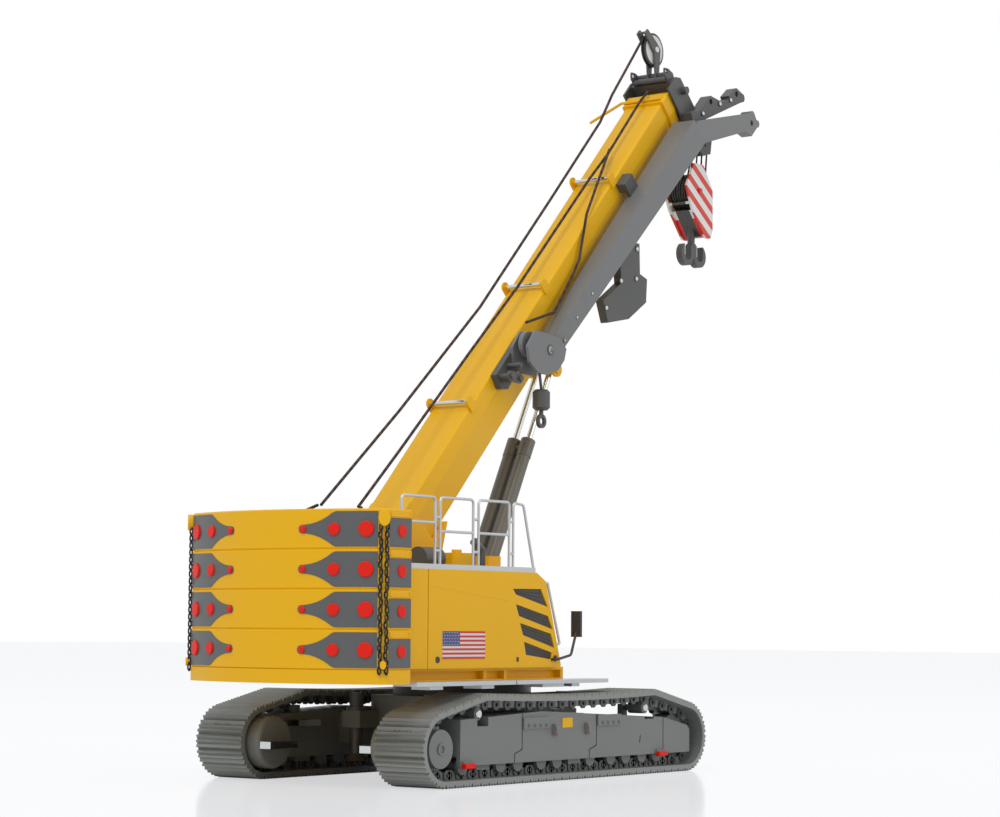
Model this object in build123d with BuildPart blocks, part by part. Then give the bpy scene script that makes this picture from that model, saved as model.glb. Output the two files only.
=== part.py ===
from build123d import *
import math
import os

# Crawler crane with a telescopic boom, a 1:50 scale model, in millimetres.
# The origin is on the ground under the slew axis. +X is the machine's right, +Y is forward
# and +Z is up. The boom has its own axes from the foot pin: U runs along it and N stands up
# from it.

os.makedirs("parts", exist_ok=True)

# Running clearances between pieces
running_gap = 0.3
seat_gap = 0.1

# Crawler tracks
track_outer_x = 42.0
shoe_width = 17.5
track_half_length = 73.0
track_end_radius = 10.8
track_hump_y = 43.0
track_top_z = 25.9
track_sag = 0.8
shoe_count = 77
shoe_thickness = 1.5
lug_height = 0.5
chain_depth = 2.0
chain_width = 6.8
chain_center_x = 33.5

# Track frames
frame_outer_x = 40.0
frame_inner_x = 27.0
frame_rear_y = -53.4
frame_front_y = 66.2
frame_bottom_z = 5.8
frame_plate = 1.4
frame_top_rear_z = 18.6
frame_top_crest_z = 20.2
frame_top_nose_z = 14.2
frame_nose_y = 50.9
frame_web_z = 8.3

# Rollers, sprockets and idlers
roller_radius = 2.4
roller_flange = 0.9
roller_center_z = 5.6
roller_ys = (-50.0, -32.0, -23.6, -12.0, -4.0, 13.2, 24.4, 32.6, 41.5, 49.5)
guide_ys = (-40.6, 4.8)
guide_length = 6.4
carrier_y = track_hump_y
carrier_radius = 1.9
sprocket_teeth = 19
sprocket_cover_radius = 5.4
end_wheel_y = track_half_length - track_end_radius
final_drive_radius = 7.6
final_drive_inner_x = 20.5

# Carbody
carbody_half_width = 17.0
carbody_half_length = 27.0
carbody_bottom_z = 9.0
carbody_top_z = 24.0
axle_beam_y = 20.0
axle_beam_length = 12.0
axle_beam_bottom_z = 9.5
axle_beam_top_z = 18.5
ring_radius = 21.0
ring_bore_radius = 15.0
ring_top_z = 28.4
jack_x = 14.0
jack_y = 33.5
jack_radius = 2.1
jack_foot_radius = 3.7

# Superstructure
deck_bottom_z = 28.7
deck_top_z = 32.7
deck_half_width = 29.0
deck_rear_y = -71.6
deck_front_y = 12.1
deck_recess = 2.2
housing_outer_x = 31.0
housing_inner_x = 12.5
housing_top_z = 60.7
housing_rear_y = -71.0
housing_front_y = 8.3
housing_crown_y = -3.0
left_housing_front_y = -26.0
catwalk_thickness = 1.5
catwalk_inner_x = 24.0
rail_height = 20.4
rail_radius = 0.4
tower_inner_x = 8.2
tower_plate = 2.0

# Counterweight
weight_half_width = 36.4
weight_chamfer = 2.0
weight_corner_x = weight_half_width - weight_chamfer
weight_rear_radius = 76.7
weight_rear_y = -91.7
weight_rear_center_y = weight_rear_y + weight_rear_radius
weight_front_y = deck_rear_y
weight_bottom_z = 32.6
slab_height = 11.0
slab_count = 4
weight_recess_half_width = 13.0
weight_recess_depth = 9.4
weight_pocket_height = 2.4
weight_pocket_depth = 1.1
weight_pocket_post = 1.4
chain_link_count = 11
chain_link_width = 1.7
chain_wire = 0.5

# Winches
drum_radius = 5.8
drum_flange_radius = 6.9
drum_half_width = 8.5
upper_drum = (-73.4, 70.0)
lower_drum = (-73.9, 55.4)

# Cab
cab_outer_x = -(deck_half_width + 2.5)
cab_inner_x = -14.5
cab_rear_y = -23.0
cab_front_y = 8.0
cab_bottom_z = 28.7
cab_top_z = 67.0
cab_wall = 1.0
glass_thickness = 0.5

# Boom
boom_angle = 46.3
foot_y = -24.0
foot_z = 60.0
foot_radius = 5.0
foot_pin_radius = 2.2
boom_half_width = 7.3
boom_bottom_half_width = 5.2
boom_top_n = 23.0
boom_crease_n = 17.3
boom_bottom_n = 6.4
boom_length = 205.0
boom_wall = 0.9
section_gap = 0.2
section_wall = 0.6
collar_length = 5.0
collar_rise = 1.2
section_count = 5
rope_rod_us = (49.5, 105.3, 160.0)
rope_rod_radius = 0.55
rope_rod_n = 24.6

# Lift cylinders
barrel_foot_y = -3.8
barrel_foot_z = 37.0
rod_eye_y = 42.0
rod_eye_z = 126.9
barrel_radius = 2.35
barrel_bore_radius = 1.2
barrel_length = 74.5
barrel_offset_x = 2.65
barrel_collar_length = 6.0
rod_radius = 0.95
rod_eye_radius = 1.3
rod_eye_width = 2.2

# Boom head and sheaves
head_plate_x = 8.6
head_front_u = 217.0
whip_u = 222.0
whip_n = 33.0
whip_radius = 5.9
head_sheave_u = 219.8
head_sheave_n = -6.4
head_sheave_radius = 4.2

# Stowed jib
jib_left_x = 9.3
jib_top_n = 15.5
jib_foot_u = 90.0
jib_head_u = 202.0
jib_foot_width = 5.4
jib_head_width = 8.6
jib_foot_depth = 6.2
jib_head_depth = 9.8

# Hook block
block_y = 128.5
block_bottom_z = 181.0
block_half_width = 3.6
block_half_length = 8.6
cheek_thickness = 0.8
fall_radius = 0.3

rope_radius = 0.45

boom_cos = math.cos(math.radians(boom_angle))
boom_sin = math.sin(math.radians(boom_angle))


def boom_point(x, u, n):
    """World place of a point given along the boom (u) and up from it (n)."""
    return (x, foot_y + u * boom_cos - n * boom_sin, foot_z + u * boom_sin + n * boom_cos)


def boom_side(x=0.0):
    """Plane along the boom's side: its X runs up the boom, its Y stands off it, it faces +X."""
    return Plane(origin=boom_point(x, 0, 0), x_dir=(0, boom_cos, boom_sin), z_dir=(1, 0, 0))


def boom_section(u):
    """Plane across the boom at a distance u from the foot pin, its Y standing off the boom."""
    return Plane(origin=boom_point(0, u, 0), x_dir=(-1, 0, 0), z_dir=(0, boom_cos, boom_sin))


def side_plane(x=0.0):
    """Vertical plane along the machine, facing +X."""
    return Plane(origin=(x, 0, 0), x_dir=(0, 1, 0), z_dir=(1, 0, 0))


def save(builder, name):
    """Label one finished piece and write it."""
    builder.part.label = name
    export_step(builder.part, f"parts/{name}.step")


def mirrored(builder, name):
    """Write the left-hand twin of a right-hand piece."""
    with BuildPart() as twin:
        mirror(builder.part, about=Plane.YZ)
    save(twin, name)


# Crawler tracks, each one closed band over sprocket, carrier rollers and idler
hump_radius = carrier_radius + chain_depth + shoe_thickness + lug_height
hump_z = track_top_z - hump_radius


def tangent_between(center_a, radius_a, center_b, radius_b):
    """Ends of the outer tangent that lies above two circles, in Y and Z."""
    dy = center_b[0] - center_a[0]
    dz = center_b[1] - center_a[1]
    distance = math.hypot(dy, dz)
    along = math.atan2(dz, dy)
    lean = math.acos((radius_a - radius_b) / distance)
    turn = along + lean
    return (
        (center_a[0] + radius_a * math.cos(turn), center_a[1] + radius_a * math.sin(turn)),
        (center_b[0] + radius_b * math.cos(turn), center_b[1] + radius_b * math.sin(turn)),
    )


def band_outline(inset):
    """Closed outline of the track band, moved inwards by inset."""
    end_radius = track_end_radius - inset
    top_radius = hump_radius - inset
    top_z = hump_z + top_radius
    low, high = tangent_between(
        (-end_wheel_y, track_end_radius), end_radius, (-track_hump_y, hump_z), top_radius
    )
    crown_y = track_hump_y + top_radius * math.sin(crown_angle)
    crown_z = hump_z + top_radius * math.cos(crown_angle)
    with BuildLine() as outline:
        Line((-end_wheel_y, inset), (end_wheel_y, inset))
        ThreePointArc(
            (end_wheel_y, inset),
            (end_wheel_y + end_radius, track_end_radius),
            (-low[0], low[1]),
        )
        Line((-low[0], low[1]), (-high[0], high[1]))
        ThreePointArc((-high[0], high[1]), (crown_y, crown_z), (track_hump_y, top_z))
        ThreePointArc((track_hump_y, top_z), (0, top_z - track_sag), (-track_hump_y, top_z))
        ThreePointArc((-track_hump_y, top_z), (-crown_y, crown_z), high)
        Line(high, low)
        ThreePointArc(
            low,
            (-end_wheel_y - end_radius, track_end_radius),
            (-end_wheel_y, inset),
        )
    return outline.edges()


def shoe_outline():
    """Outer outline of the shoes: three lugs on each, one shoe at each equal step of the band."""
    pitch_line = Wire(band_outline(shoe_depth))
    points = []
    for shoe in range(shoe_count):
        for share, height in shoe_profile:
            place = (shoe + share) / shoe_count
            spot = pitch_line.position_at(place)
            run = pitch_line.tangent_at(place)
            points.append((spot.X + run.Y * height, spot.Y - run.X * height))
    with BuildLine() as outline:
        Polyline(*points, close=True)
    return outline.edges()


crown_angle = math.radians(8)
shoe_depth = shoe_thickness + lug_height
band_depth = shoe_depth + chain_depth
shoe_valley = shoe_depth - 1.4 * lug_height
shoe_joint = shoe_depth - 2.2 * lug_height
shoe_profile = (
    (0.0, shoe_joint),
    (0.17, shoe_depth),
    (0.36, shoe_valley),
    (0.5, shoe_depth),
    (0.64, shoe_valley),
    (0.83, shoe_depth),
)
with BuildPart() as track_right:
    with BuildSketch(side_plane(track_outer_x)):
        make_face(shoe_outline())
        make_face(band_outline(shoe_depth), mode=Mode.SUBTRACT)
    extrude(amount=-shoe_width)
    with BuildSketch(side_plane(chain_center_x)):
        make_face(band_outline(shoe_depth))
        make_face(band_outline(band_depth), mode=Mode.SUBTRACT)
    extrude(amount=chain_width / 2, both=True)
save(track_right, "track_right")
mirrored(track_right, "track_left")

# Track frames: a box between two side plates, slotted at the nose for the idler
frame_mid_y = -14.0
frame_corner = 1.4
frame_width = frame_outer_x - frame_inner_x
frame_center_x = (frame_outer_x + frame_inner_x) / 2
nose_slot_y = 53.0
nose_slot_half_width = 3.9
carrier_floor_z = 16.6
carrier_notch = 5.2
seam_width = 0.5
seam_depth = 0.5
seam_ys = (-23.7, 14.3)
seam_step = 3.7
seam_step_z = 9.4
hinge_plate_size = (0.5, 12.6, 3.3)
hinge_plate_z = 16.9
grip_ys = (-8.5, 8.2)
grip_z = 14.7
grip_radius = 1.7
grip_thickness = 0.7
tow_lug_ys = (-50.6, 48.8)
tow_lug_size = (1.6, 4.4, 1.3)


def frame_seam(y):
    """Narrow groove down the frame's side, stepped back near its foot."""
    with BuildLine() as outline:
        Polyline(
            (y, frame_top_crest_z),
            (y, seam_step_z),
            (y - seam_step, seam_step_z - 1.2),
            (y - seam_step, frame_bottom_z - 1),
            (y - seam_step - seam_width, frame_bottom_z - 1),
            (y - seam_step - seam_width, seam_step_z - 0.9),
            (y - seam_width, seam_step_z + 0.3),
            (y - seam_width, frame_top_crest_z),
            close=True,
        )
    return outline.edges()


with BuildPart() as track_frame_right:
    with BuildSketch(side_plane(frame_outer_x)):
        with BuildLine():
            Polyline(
                (frame_rear_y, frame_bottom_z),
                (frame_front_y, frame_bottom_z),
                (frame_front_y, frame_top_nose_z - frame_corner),
                (frame_front_y - frame_corner, frame_top_nose_z),
                (frame_nose_y, frame_top_nose_z + 2.8),
                (frame_mid_y, frame_top_crest_z),
                (frame_rear_y, frame_top_rear_z),
                close=True,
            )
        make_face()
    extrude(amount=-frame_width)
    with BuildSketch(Plane.XY.offset(frame_bottom_z)):
        with Locations((frame_center_x, (frame_front_y + frame_rear_y) / 2)):
            Rectangle(frame_width - 2 * frame_plate, frame_front_y - frame_rear_y + 2)
    extrude(amount=frame_web_z - frame_bottom_z, mode=Mode.SUBTRACT)
    with BuildSketch(Plane.XY.offset(frame_bottom_z)):
        with Locations((frame_center_x, (nose_slot_y + frame_front_y + 2) / 2)):
            Rectangle(2 * nose_slot_half_width, frame_front_y + 2 - nose_slot_y)
    extrude(amount=frame_top_crest_z - frame_bottom_z, mode=Mode.SUBTRACT)
    with BuildSketch(Plane.XY.offset(carrier_floor_z)):
        with Locations(
            (frame_center_x + frame_plate, -carrier_y),
            (frame_center_x + frame_plate, carrier_y),
        ):
            Rectangle(frame_width, carrier_notch)
    extrude(amount=frame_top_crest_z - carrier_floor_z, mode=Mode.SUBTRACT)
    with BuildSketch(side_plane(frame_outer_x)):
        for y in seam_ys:
            make_face(frame_seam(y))
        with Locations((frame_nose_y, frame_top_crest_z / 2)):
            Rectangle(seam_width, frame_top_crest_z)
    extrude(amount=-seam_depth, mode=Mode.SUBTRACT)
    for y in seam_ys:
        with Locations((frame_outer_x, y, hinge_plate_z)):
            Box(*hinge_plate_size, align=(Align.MIN, Align.MIN, Align.CENTER))
    for y in grip_ys:
        with Locations(
            Plane(origin=(frame_outer_x, y, grip_z), x_dir=(1, 0, 0), z_dir=(0, 1, 0)).location
        ):
            Cylinder(grip_radius, grip_thickness)
    for y in tow_lug_ys:
        with Locations((frame_outer_x, y, frame_bottom_z)):
            Box(*tow_lug_size, align=(Align.CENTER, Align.CENTER, Align.MIN))
save(track_frame_right, "track_frame_right")
mirrored(track_frame_right, "track_frame_left")

# Bottom rollers, chain guides, carrier rollers and the idler of one side
wheel_radius = track_end_radius - band_depth - seat_gap
idler_half_width = 2.6
idler_axle_radius = 1.2
roller_half_length = frame_width / 2 - frame_plate - running_gap
roller_flange_width = 1.2
tread_radius = roller_radius - roller_flange
guide_bottom_z = band_depth + running_gap
carrier_bracket_x = frame_center_x - 3.5
carrier_bracket_width = 2.0
carrier_end_x = frame_outer_x - 1.7
with BuildPart() as rollers_right:
    with Locations([(frame_center_x, y, roller_center_z) for y in roller_ys]):
        Cylinder(tread_radius, 2 * roller_half_length, rotation=(0, 90, 0))
    for end in (-1, 1):
        flange_x = frame_center_x + end * (roller_half_length - roller_flange_width / 2)
        with Locations([(flange_x, y, roller_center_z) for y in roller_ys]):
            Cylinder(roller_radius, roller_flange_width, rotation=(0, 90, 0))
    with Locations([(frame_center_x, y, frame_web_z) for y in guide_ys]):
        Box(
            2 * roller_half_length,
            guide_length,
            frame_web_z - guide_bottom_z,
            align=(Align.CENTER, Align.CENTER, Align.MAX),
        )
    with Locations([(carrier_end_x, y, hump_z) for y in (-carrier_y, carrier_y)]):
        Cylinder(
            carrier_radius - seat_gap,
            5.4,
            rotation=(0, -90, 0),
            align=(Align.CENTER, Align.CENTER, Align.MIN),
        )
    with Locations([(carrier_end_x, y, hump_z) for y in (-carrier_y, carrier_y)]):
        Cylinder(
            0.8,
            carrier_end_x - carrier_bracket_x,
            rotation=(0, -90, 0),
            align=(Align.CENTER, Align.CENTER, Align.MIN),
        )
    with Locations([(carrier_bracket_x, y, carrier_floor_z) for y in (-carrier_y, carrier_y)]):
        Box(
            carrier_bracket_width,
            2.4,
            hump_z + 1 - carrier_floor_z,
            align=(Align.CENTER, Align.CENTER, Align.MIN),
        )
    with Locations((frame_center_x, end_wheel_y, track_end_radius)):
        Cylinder(wheel_radius, 2 * idler_half_width, rotation=(0, 90, 0))
        Cylinder(idler_axle_radius, 2 * nose_slot_half_width, rotation=(0, 90, 0))
save(rollers_right, "rollers_right")
mirrored(rollers_right, "rollers_left")

# Sprocket at the rear, with its cover disc outside
tooth_notch = 0.55
hub_ring_radius = 1.6
hub_ring_wall = 0.5
sprocket_inner_x = chain_center_x - chain_width / 2
with BuildPart() as sprocket_right:
    with BuildSketch(side_plane(sprocket_inner_x)):
        with Locations((-end_wheel_y, track_end_radius)):
            Circle(wheel_radius)
            with PolarLocations(wheel_radius, sprocket_teeth):
                Circle(tooth_notch, mode=Mode.SUBTRACT)
    extrude(amount=chain_width)
    with BuildSketch(side_plane(frame_outer_x)):
        with Locations((-end_wheel_y, track_end_radius)):
            Circle(sprocket_cover_radius)
    extrude(amount=-(frame_outer_x - chain_center_x))
    with BuildSketch(side_plane(frame_outer_x)):
        with Locations((-end_wheel_y, track_end_radius)):
            Circle(hub_ring_radius)
            Circle(hub_ring_radius - hub_ring_wall, mode=Mode.SUBTRACT)
    extrude(amount=0.4)
save(sprocket_right, "sprocket_right")
mirrored(sprocket_right, "sprocket_left")

# Final drives: a round gear case inside each sprocket, bolted to the end of the frame
case_outer_x = 26.0
case_arm_half_height = 4.4
with BuildPart() as final_drives:
    with BuildSketch(side_plane(final_drive_inner_x)):
        with Locations((-end_wheel_y, track_end_radius)):
            Circle(final_drive_radius)
    extrude(amount=case_outer_x - final_drive_inner_x)
    fillet(final_drives.faces().sort_by(Axis.X)[0].edges(), 1.2)
    with BuildSketch(side_plane(case_outer_x)):
        with Locations((-end_wheel_y, track_end_radius)):
            Circle(final_drive_radius - 2.2)
        with BuildLine():
            Polyline(
                (-end_wheel_y, track_end_radius - case_arm_half_height),
                (frame_rear_y, track_end_radius - case_arm_half_height),
                (frame_rear_y, track_end_radius + case_arm_half_height),
                (-end_wheel_y, track_end_radius + case_arm_half_height),
                close=True,
            )
        make_face()
    extrude(amount=sprocket_inner_x - case_outer_x - seat_gap)
    mirror(about=Plane.YZ)
save(final_drives, "final_drives")

# Carbody: the box between the tracks, two cross beams and the legs for its jacks
carbody_chamfer = 4.0
jack_arm_width = 6.8
jack_arm_z = 17.0
jack_arm_height = 5.0
with BuildPart() as carbody:
    with BuildSketch(Plane.XY.offset(carbody_bottom_z)) as carbody_plan:
        Rectangle(2 * carbody_half_width, 2 * carbody_half_length)
        chamfer(carbody_plan.vertices(), carbody_chamfer)
    extrude(amount=carbody_top_z - carbody_bottom_z)
    with Locations((0, -axle_beam_y, axle_beam_bottom_z), (0, axle_beam_y, axle_beam_bottom_z)):
        Box(
            2 * frame_inner_x,
            axle_beam_length,
            axle_beam_top_z - axle_beam_bottom_z,
            align=(Align.CENTER, Align.CENTER, Align.MIN),
        )
    with GridLocations(2 * jack_x, 2 * (jack_y - jack_arm_width / 2), 2, 2):
        with Locations((0, 0, jack_arm_z)):
            Box(jack_arm_width, 12.0, jack_arm_height)
    with GridLocations(2 * jack_x, 2 * jack_y, 2, 2):
        with Locations((0, 0, jack_arm_z)):
            Cylinder(jack_radius + running_gap, 2 * jack_arm_height, mode=Mode.SUBTRACT)
save(carbody, "carbody")

# Slewing ring on top of the carbody
with BuildPart() as slew_ring:
    with BuildSketch(Plane.XY.offset(carbody_top_z)):
        Circle(ring_radius)
        Circle(ring_bore_radius, mode=Mode.SUBTRACT)
    extrude(amount=ring_top_z - carbody_top_z)
save(slew_ring, "slew_ring")

# Four assembly jacks with round feet, raised clear of the ground
jack_top_z = 24.8
jack_foot_z = 4.8
jack_foot_height = 2.2
jack_collar = 1.0
with BuildPart() as jacks:
    with GridLocations(2 * jack_x, 2 * jack_y, 2, 2):
        with Locations((0, 0, jack_foot_z)):
            Cone(
                jack_foot_radius,
                jack_radius,
                jack_foot_height,
                align=(Align.CENTER, Align.CENTER, Align.MIN),
            )
        with Locations((0, 0, jack_foot_z + jack_foot_height)):
            Cylinder(
                jack_radius,
                jack_top_z - jack_foot_z - jack_foot_height,
                align=(Align.CENTER, Align.CENTER, Align.MIN),
            )
        with Locations((0, 0, jack_arm_z + jack_arm_height / 2)):
            Cylinder(
                jack_radius + jack_collar,
                1.0,
                align=(Align.CENTER, Align.CENTER, Align.MIN),
            )
save(jacks, "jacks")

# Bright steps: one on each final drive and one on each frame
step_depth = 4.0
with BuildPart() as steps:
    for side in (-1, 1):
        with Locations((side * (final_drive_inner_x - step_depth / 2), -63.0, 10.2)):
            Box(step_depth, 12.0, 2.0)
        with Locations((side * (frame_inner_x - 3.0), -46.5, 16.0)):
            Box(6.0, 10.0, 1.8)
save(steps, "steps")

# Superstructure deck: a plate with ribbed side beams, over the slewing ring
flange_thickness = 0.8
rib_thickness = 1.4
rib_ys = (-27.4, -17.3)
deck_height = deck_top_z - deck_bottom_z
with BuildPart() as deck:
    with BuildSketch(Plane.XY.offset(deck_bottom_z)):
        with Locations((0, (deck_rear_y + deck_front_y) / 2)):
            Rectangle(2 * (deck_half_width - deck_recess), deck_front_y - deck_rear_y)
    extrude(amount=deck_height)
    for level in (deck_bottom_z, deck_top_z - flange_thickness):
        with BuildSketch(Plane.XY.offset(level)):
            with Locations((0, (deck_rear_y + deck_front_y) / 2)):
                Rectangle(2 * deck_half_width, deck_front_y - deck_rear_y)
        extrude(amount=flange_thickness)
    with BuildSketch(Plane.XY.offset(deck_bottom_z)):
        with Locations(
            [(0, y) for y in rib_ys]
            + [(0, deck_rear_y + rib_thickness / 2), (0, deck_front_y - rib_thickness / 2)]
        ):
            Rectangle(2 * deck_half_width, rib_thickness)
    extrude(amount=deck_height)
    with Locations((cab_inner_x + seat_gap, cab_rear_y - seat_gap, deck_bottom_z)):
        Box(
            60,
            60,
            deck_height,
            align=(Align.MAX, Align.MIN, Align.MIN),
            mode=Mode.SUBTRACT,
        )
save(deck, "deck")

# Counterweight: a tray and four slabs with a round rear and cut corners
weight_corner_y = weight_rear_center_y - math.sqrt(
    weight_rear_radius**2 - weight_corner_x**2
)
weight_recess_y = weight_front_y - weight_recess_depth


def weight_outline(recess_half_width, recess_y):
    """Plan of a weight with a round rear, cut corners and a recess in its front."""
    with BuildLine() as outline:
        ThreePointArc(
            (-weight_corner_x, weight_corner_y),
            (0, weight_rear_center_y - weight_rear_radius),
            (weight_corner_x, weight_corner_y),
        )
        Polyline(
            (weight_corner_x, weight_corner_y),
            (weight_half_width, weight_corner_y + weight_chamfer),
            (weight_half_width, weight_front_y),
            (recess_half_width, weight_front_y),
            (recess_half_width, recess_y),
            (-recess_half_width, recess_y),
            (-recess_half_width, weight_front_y),
            (-weight_half_width, weight_front_y),
            (-weight_half_width, weight_corner_y + weight_chamfer),
            (-weight_corner_x, weight_corner_y),
        )
    make_face(outline.edges())


tray_recess_y = weight_front_y - 1.0
with BuildPart() as counterweight_tray:
    with BuildSketch(Plane.XY.offset(deck_bottom_z)):
        weight_outline(weight_recess_half_width, tray_recess_y)
    extrude(amount=weight_bottom_z - deck_bottom_z)
save(counterweight_tray, "counterweight_tray")

slab_edge = 0.35
pocket_rear_y = weight_corner_y + weight_chamfer + weight_pocket_post
pocket_length = weight_front_y - weight_pocket_post - pocket_rear_y
pocket_mid_y = pocket_rear_y + pocket_length / 2
for index in range(slab_count):
    slab_z = weight_bottom_z + index * slab_height
    with BuildPart() as slab:
        with BuildSketch(Plane.XY.offset(slab_z)):
            weight_outline(weight_recess_half_width, weight_recess_y)
        extrude(amount=slab_height)
        chamfer(slab.faces().sort_by(Axis.Z)[-1].edges(), slab_edge)
        chamfer(slab.faces().sort_by(Axis.Z)[0].edges(), slab_edge)
        for side in (-1, 1):
            with Locations((side * weight_half_width, pocket_mid_y, slab_z + 2 * slab_edge)):
                Box(
                    2 * weight_pocket_depth,
                    pocket_length,
                    weight_pocket_height,
                    align=(Align.CENTER, Align.CENTER, Align.MIN),
                    mode=Mode.SUBTRACT,
                )
    save(slab, f"counterweight_slab_{index + 1}")

# Ballast chains at the cut corners, each between two round pegs
peg_radius = 1.3
peg_sides = 8
peg_length = 1.6
corner_mid_x = weight_half_width - weight_chamfer / 2
corner_mid_y = weight_corner_y + weight_chamfer / 2
chain_bottom_z = weight_bottom_z + 2.6
chain_top_z = weight_bottom_z + slab_count * slab_height - 2.6
link_height = (chain_top_z - chain_bottom_z) / chain_link_count
with BuildPart() as ballast_chains:
    for side in (-1, 1):
        corner = Plane(
            origin=(side * corner_mid_x, corner_mid_y, 0),
            x_dir=(1, side, 0),
            z_dir=(side, -1, 0),
        )
        with BuildSketch(corner):
            with Locations((0, chain_bottom_z), (0, chain_top_z)):
                RegularPolygon(peg_radius, peg_sides)
        extrude(amount=peg_length)
        with BuildSketch(corner.offset(seat_gap)):
            for link in range(chain_link_count):
                link_z = chain_bottom_z + (link + 0.5) * link_height
                with Locations((0, link_z)):
                    if link % 2:
                        Rectangle(chain_wire, link_height + 2 * chain_wire)
                    else:
                        Rectangle(chain_link_width, link_height + chain_wire)
                        Rectangle(
                            chain_link_width - 2 * chain_wire,
                            link_height - chain_wire,
                            mode=Mode.SUBTRACT,
                        )
        extrude(amount=2 * chain_wire)
save(ballast_chains, "ballast_chains")

# Engine housing on the right, with louvres in its side
louvre_depth = 0.6
louvre_quads = (
    ((-16.6, 55.8), (-2.4, 55.9), (1.2, 50.6), (-15.1, 54.1)),
    ((-15.1, 51.3), (1.3, 47.9), (3.9, 43.9), (-13.5, 47.8)),
    ((-13.0, 45.8), (2.9, 42.6), (4.7, 38.4), (-11.4, 42.2)),
    ((-10.9, 40.3), (3.4, 37.0), (3.0, 35.0), (-9.9, 36.4)),
)
panel_seam_y = -57.0
panel_seam = 0.4
with BuildPart() as engine_housing:
    with BuildSketch(side_plane(housing_outer_x)):
        with BuildLine():
            FilletPolyline(
                (housing_rear_y, deck_top_z),
                (housing_front_y, deck_top_z),
                (housing_crown_y + 3.1, housing_top_z - 2.5),
                (housing_crown_y - 1.5, housing_top_z),
                (housing_rear_y, housing_top_z),
                radius=0.6,
                close=True,
            )
        make_face()
    extrude(amount=-(housing_outer_x - housing_inner_x))
    with BuildSketch(side_plane(housing_outer_x)):
        for quad in louvre_quads:
            with BuildLine():
                Polyline(*quad, close=True)
            make_face()
    extrude(amount=-louvre_depth, mode=Mode.SUBTRACT)
    with BuildSketch(side_plane(housing_outer_x)):
        with Locations((panel_seam_y, housing_top_z / 2)):
            Rectangle(panel_seam, housing_top_z)
    extrude(amount=-panel_seam, mode=Mode.SUBTRACT)
save(engine_housing, "engine_housing")

# Left housing behind the cab
left_housing_top_z = 56.0
with BuildPart() as left_housing:
    with BuildSketch(side_plane(-housing_outer_x)):
        with BuildLine():
            FilletPolyline(
                (housing_rear_y, deck_top_z),
                (left_housing_front_y, deck_top_z),
                (left_housing_front_y, left_housing_top_z - 3),
                (left_housing_front_y - 3, left_housing_top_z),
                (housing_rear_y, left_housing_top_z),
                radius=0.8,
                close=True,
            )
        make_face()
    extrude(amount=housing_outer_x - housing_inner_x)
save(left_housing, "left_housing")

# Catwalk channel along the top of the engine housing
catwalk_outer_x = housing_outer_x - 0.2
catwalk_rear_y = -70.0
catwalk_front_y = -5.0
catwalk_floor = 0.6
catwalk_edge = 0.9
with BuildPart() as catwalk:
    with Locations(
        (
            (catwalk_inner_x + catwalk_outer_x) / 2,
            (catwalk_rear_y + catwalk_front_y) / 2,
            housing_top_z,
        )
    ):
        Box(
            catwalk_outer_x - catwalk_inner_x,
            catwalk_front_y - catwalk_rear_y,
            catwalk_thickness,
            align=(Align.CENTER, Align.CENTER, Align.MIN),
        )
    with Locations(
        (
            (catwalk_inner_x + catwalk_outer_x) / 2,
            (catwalk_rear_y + catwalk_front_y) / 2,
            housing_top_z + catwalk_floor,
        )
    ):
        Box(
            catwalk_outer_x - catwalk_inner_x - 2 * catwalk_edge,
            catwalk_front_y - catwalk_rear_y + 2,
            catwalk_thickness,
            align=(Align.CENTER, Align.CENTER, Align.MIN),
            mode=Mode.SUBTRACT,
        )
save(catwalk, "catwalk")


ball_rise = 0.02


def rod(start, end, radius):
    """Round bar between two points, added to the open part."""
    along = Vector(*end) - Vector(*start)
    with Locations(Plane(origin=start, z_dir=along).location):
        Cylinder(radius, along.length, align=(Align.CENTER, Align.CENTER, Align.MIN))


def bent_rod(points, radius):
    """Round bar along several points, with a ball at each bend."""
    for start, end in zip(points, points[1:]):
        rod(start, end, radius)
    for point in points[1:-1]:
        with Locations(point):
            Sphere(radius + ball_rise)


def bent_tube(points, radius, bend):
    """Round bar along several points, with a rounded bend at each."""
    with BuildLine() as path:
        FilletPolyline(*points, radius=bend)
    route = path.wires()[0]
    with BuildSketch(Plane(origin=route @ 0, z_dir=route % 0)) as section:
        Circle(radius)
    sweep(section.sketch, path=route)


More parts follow.
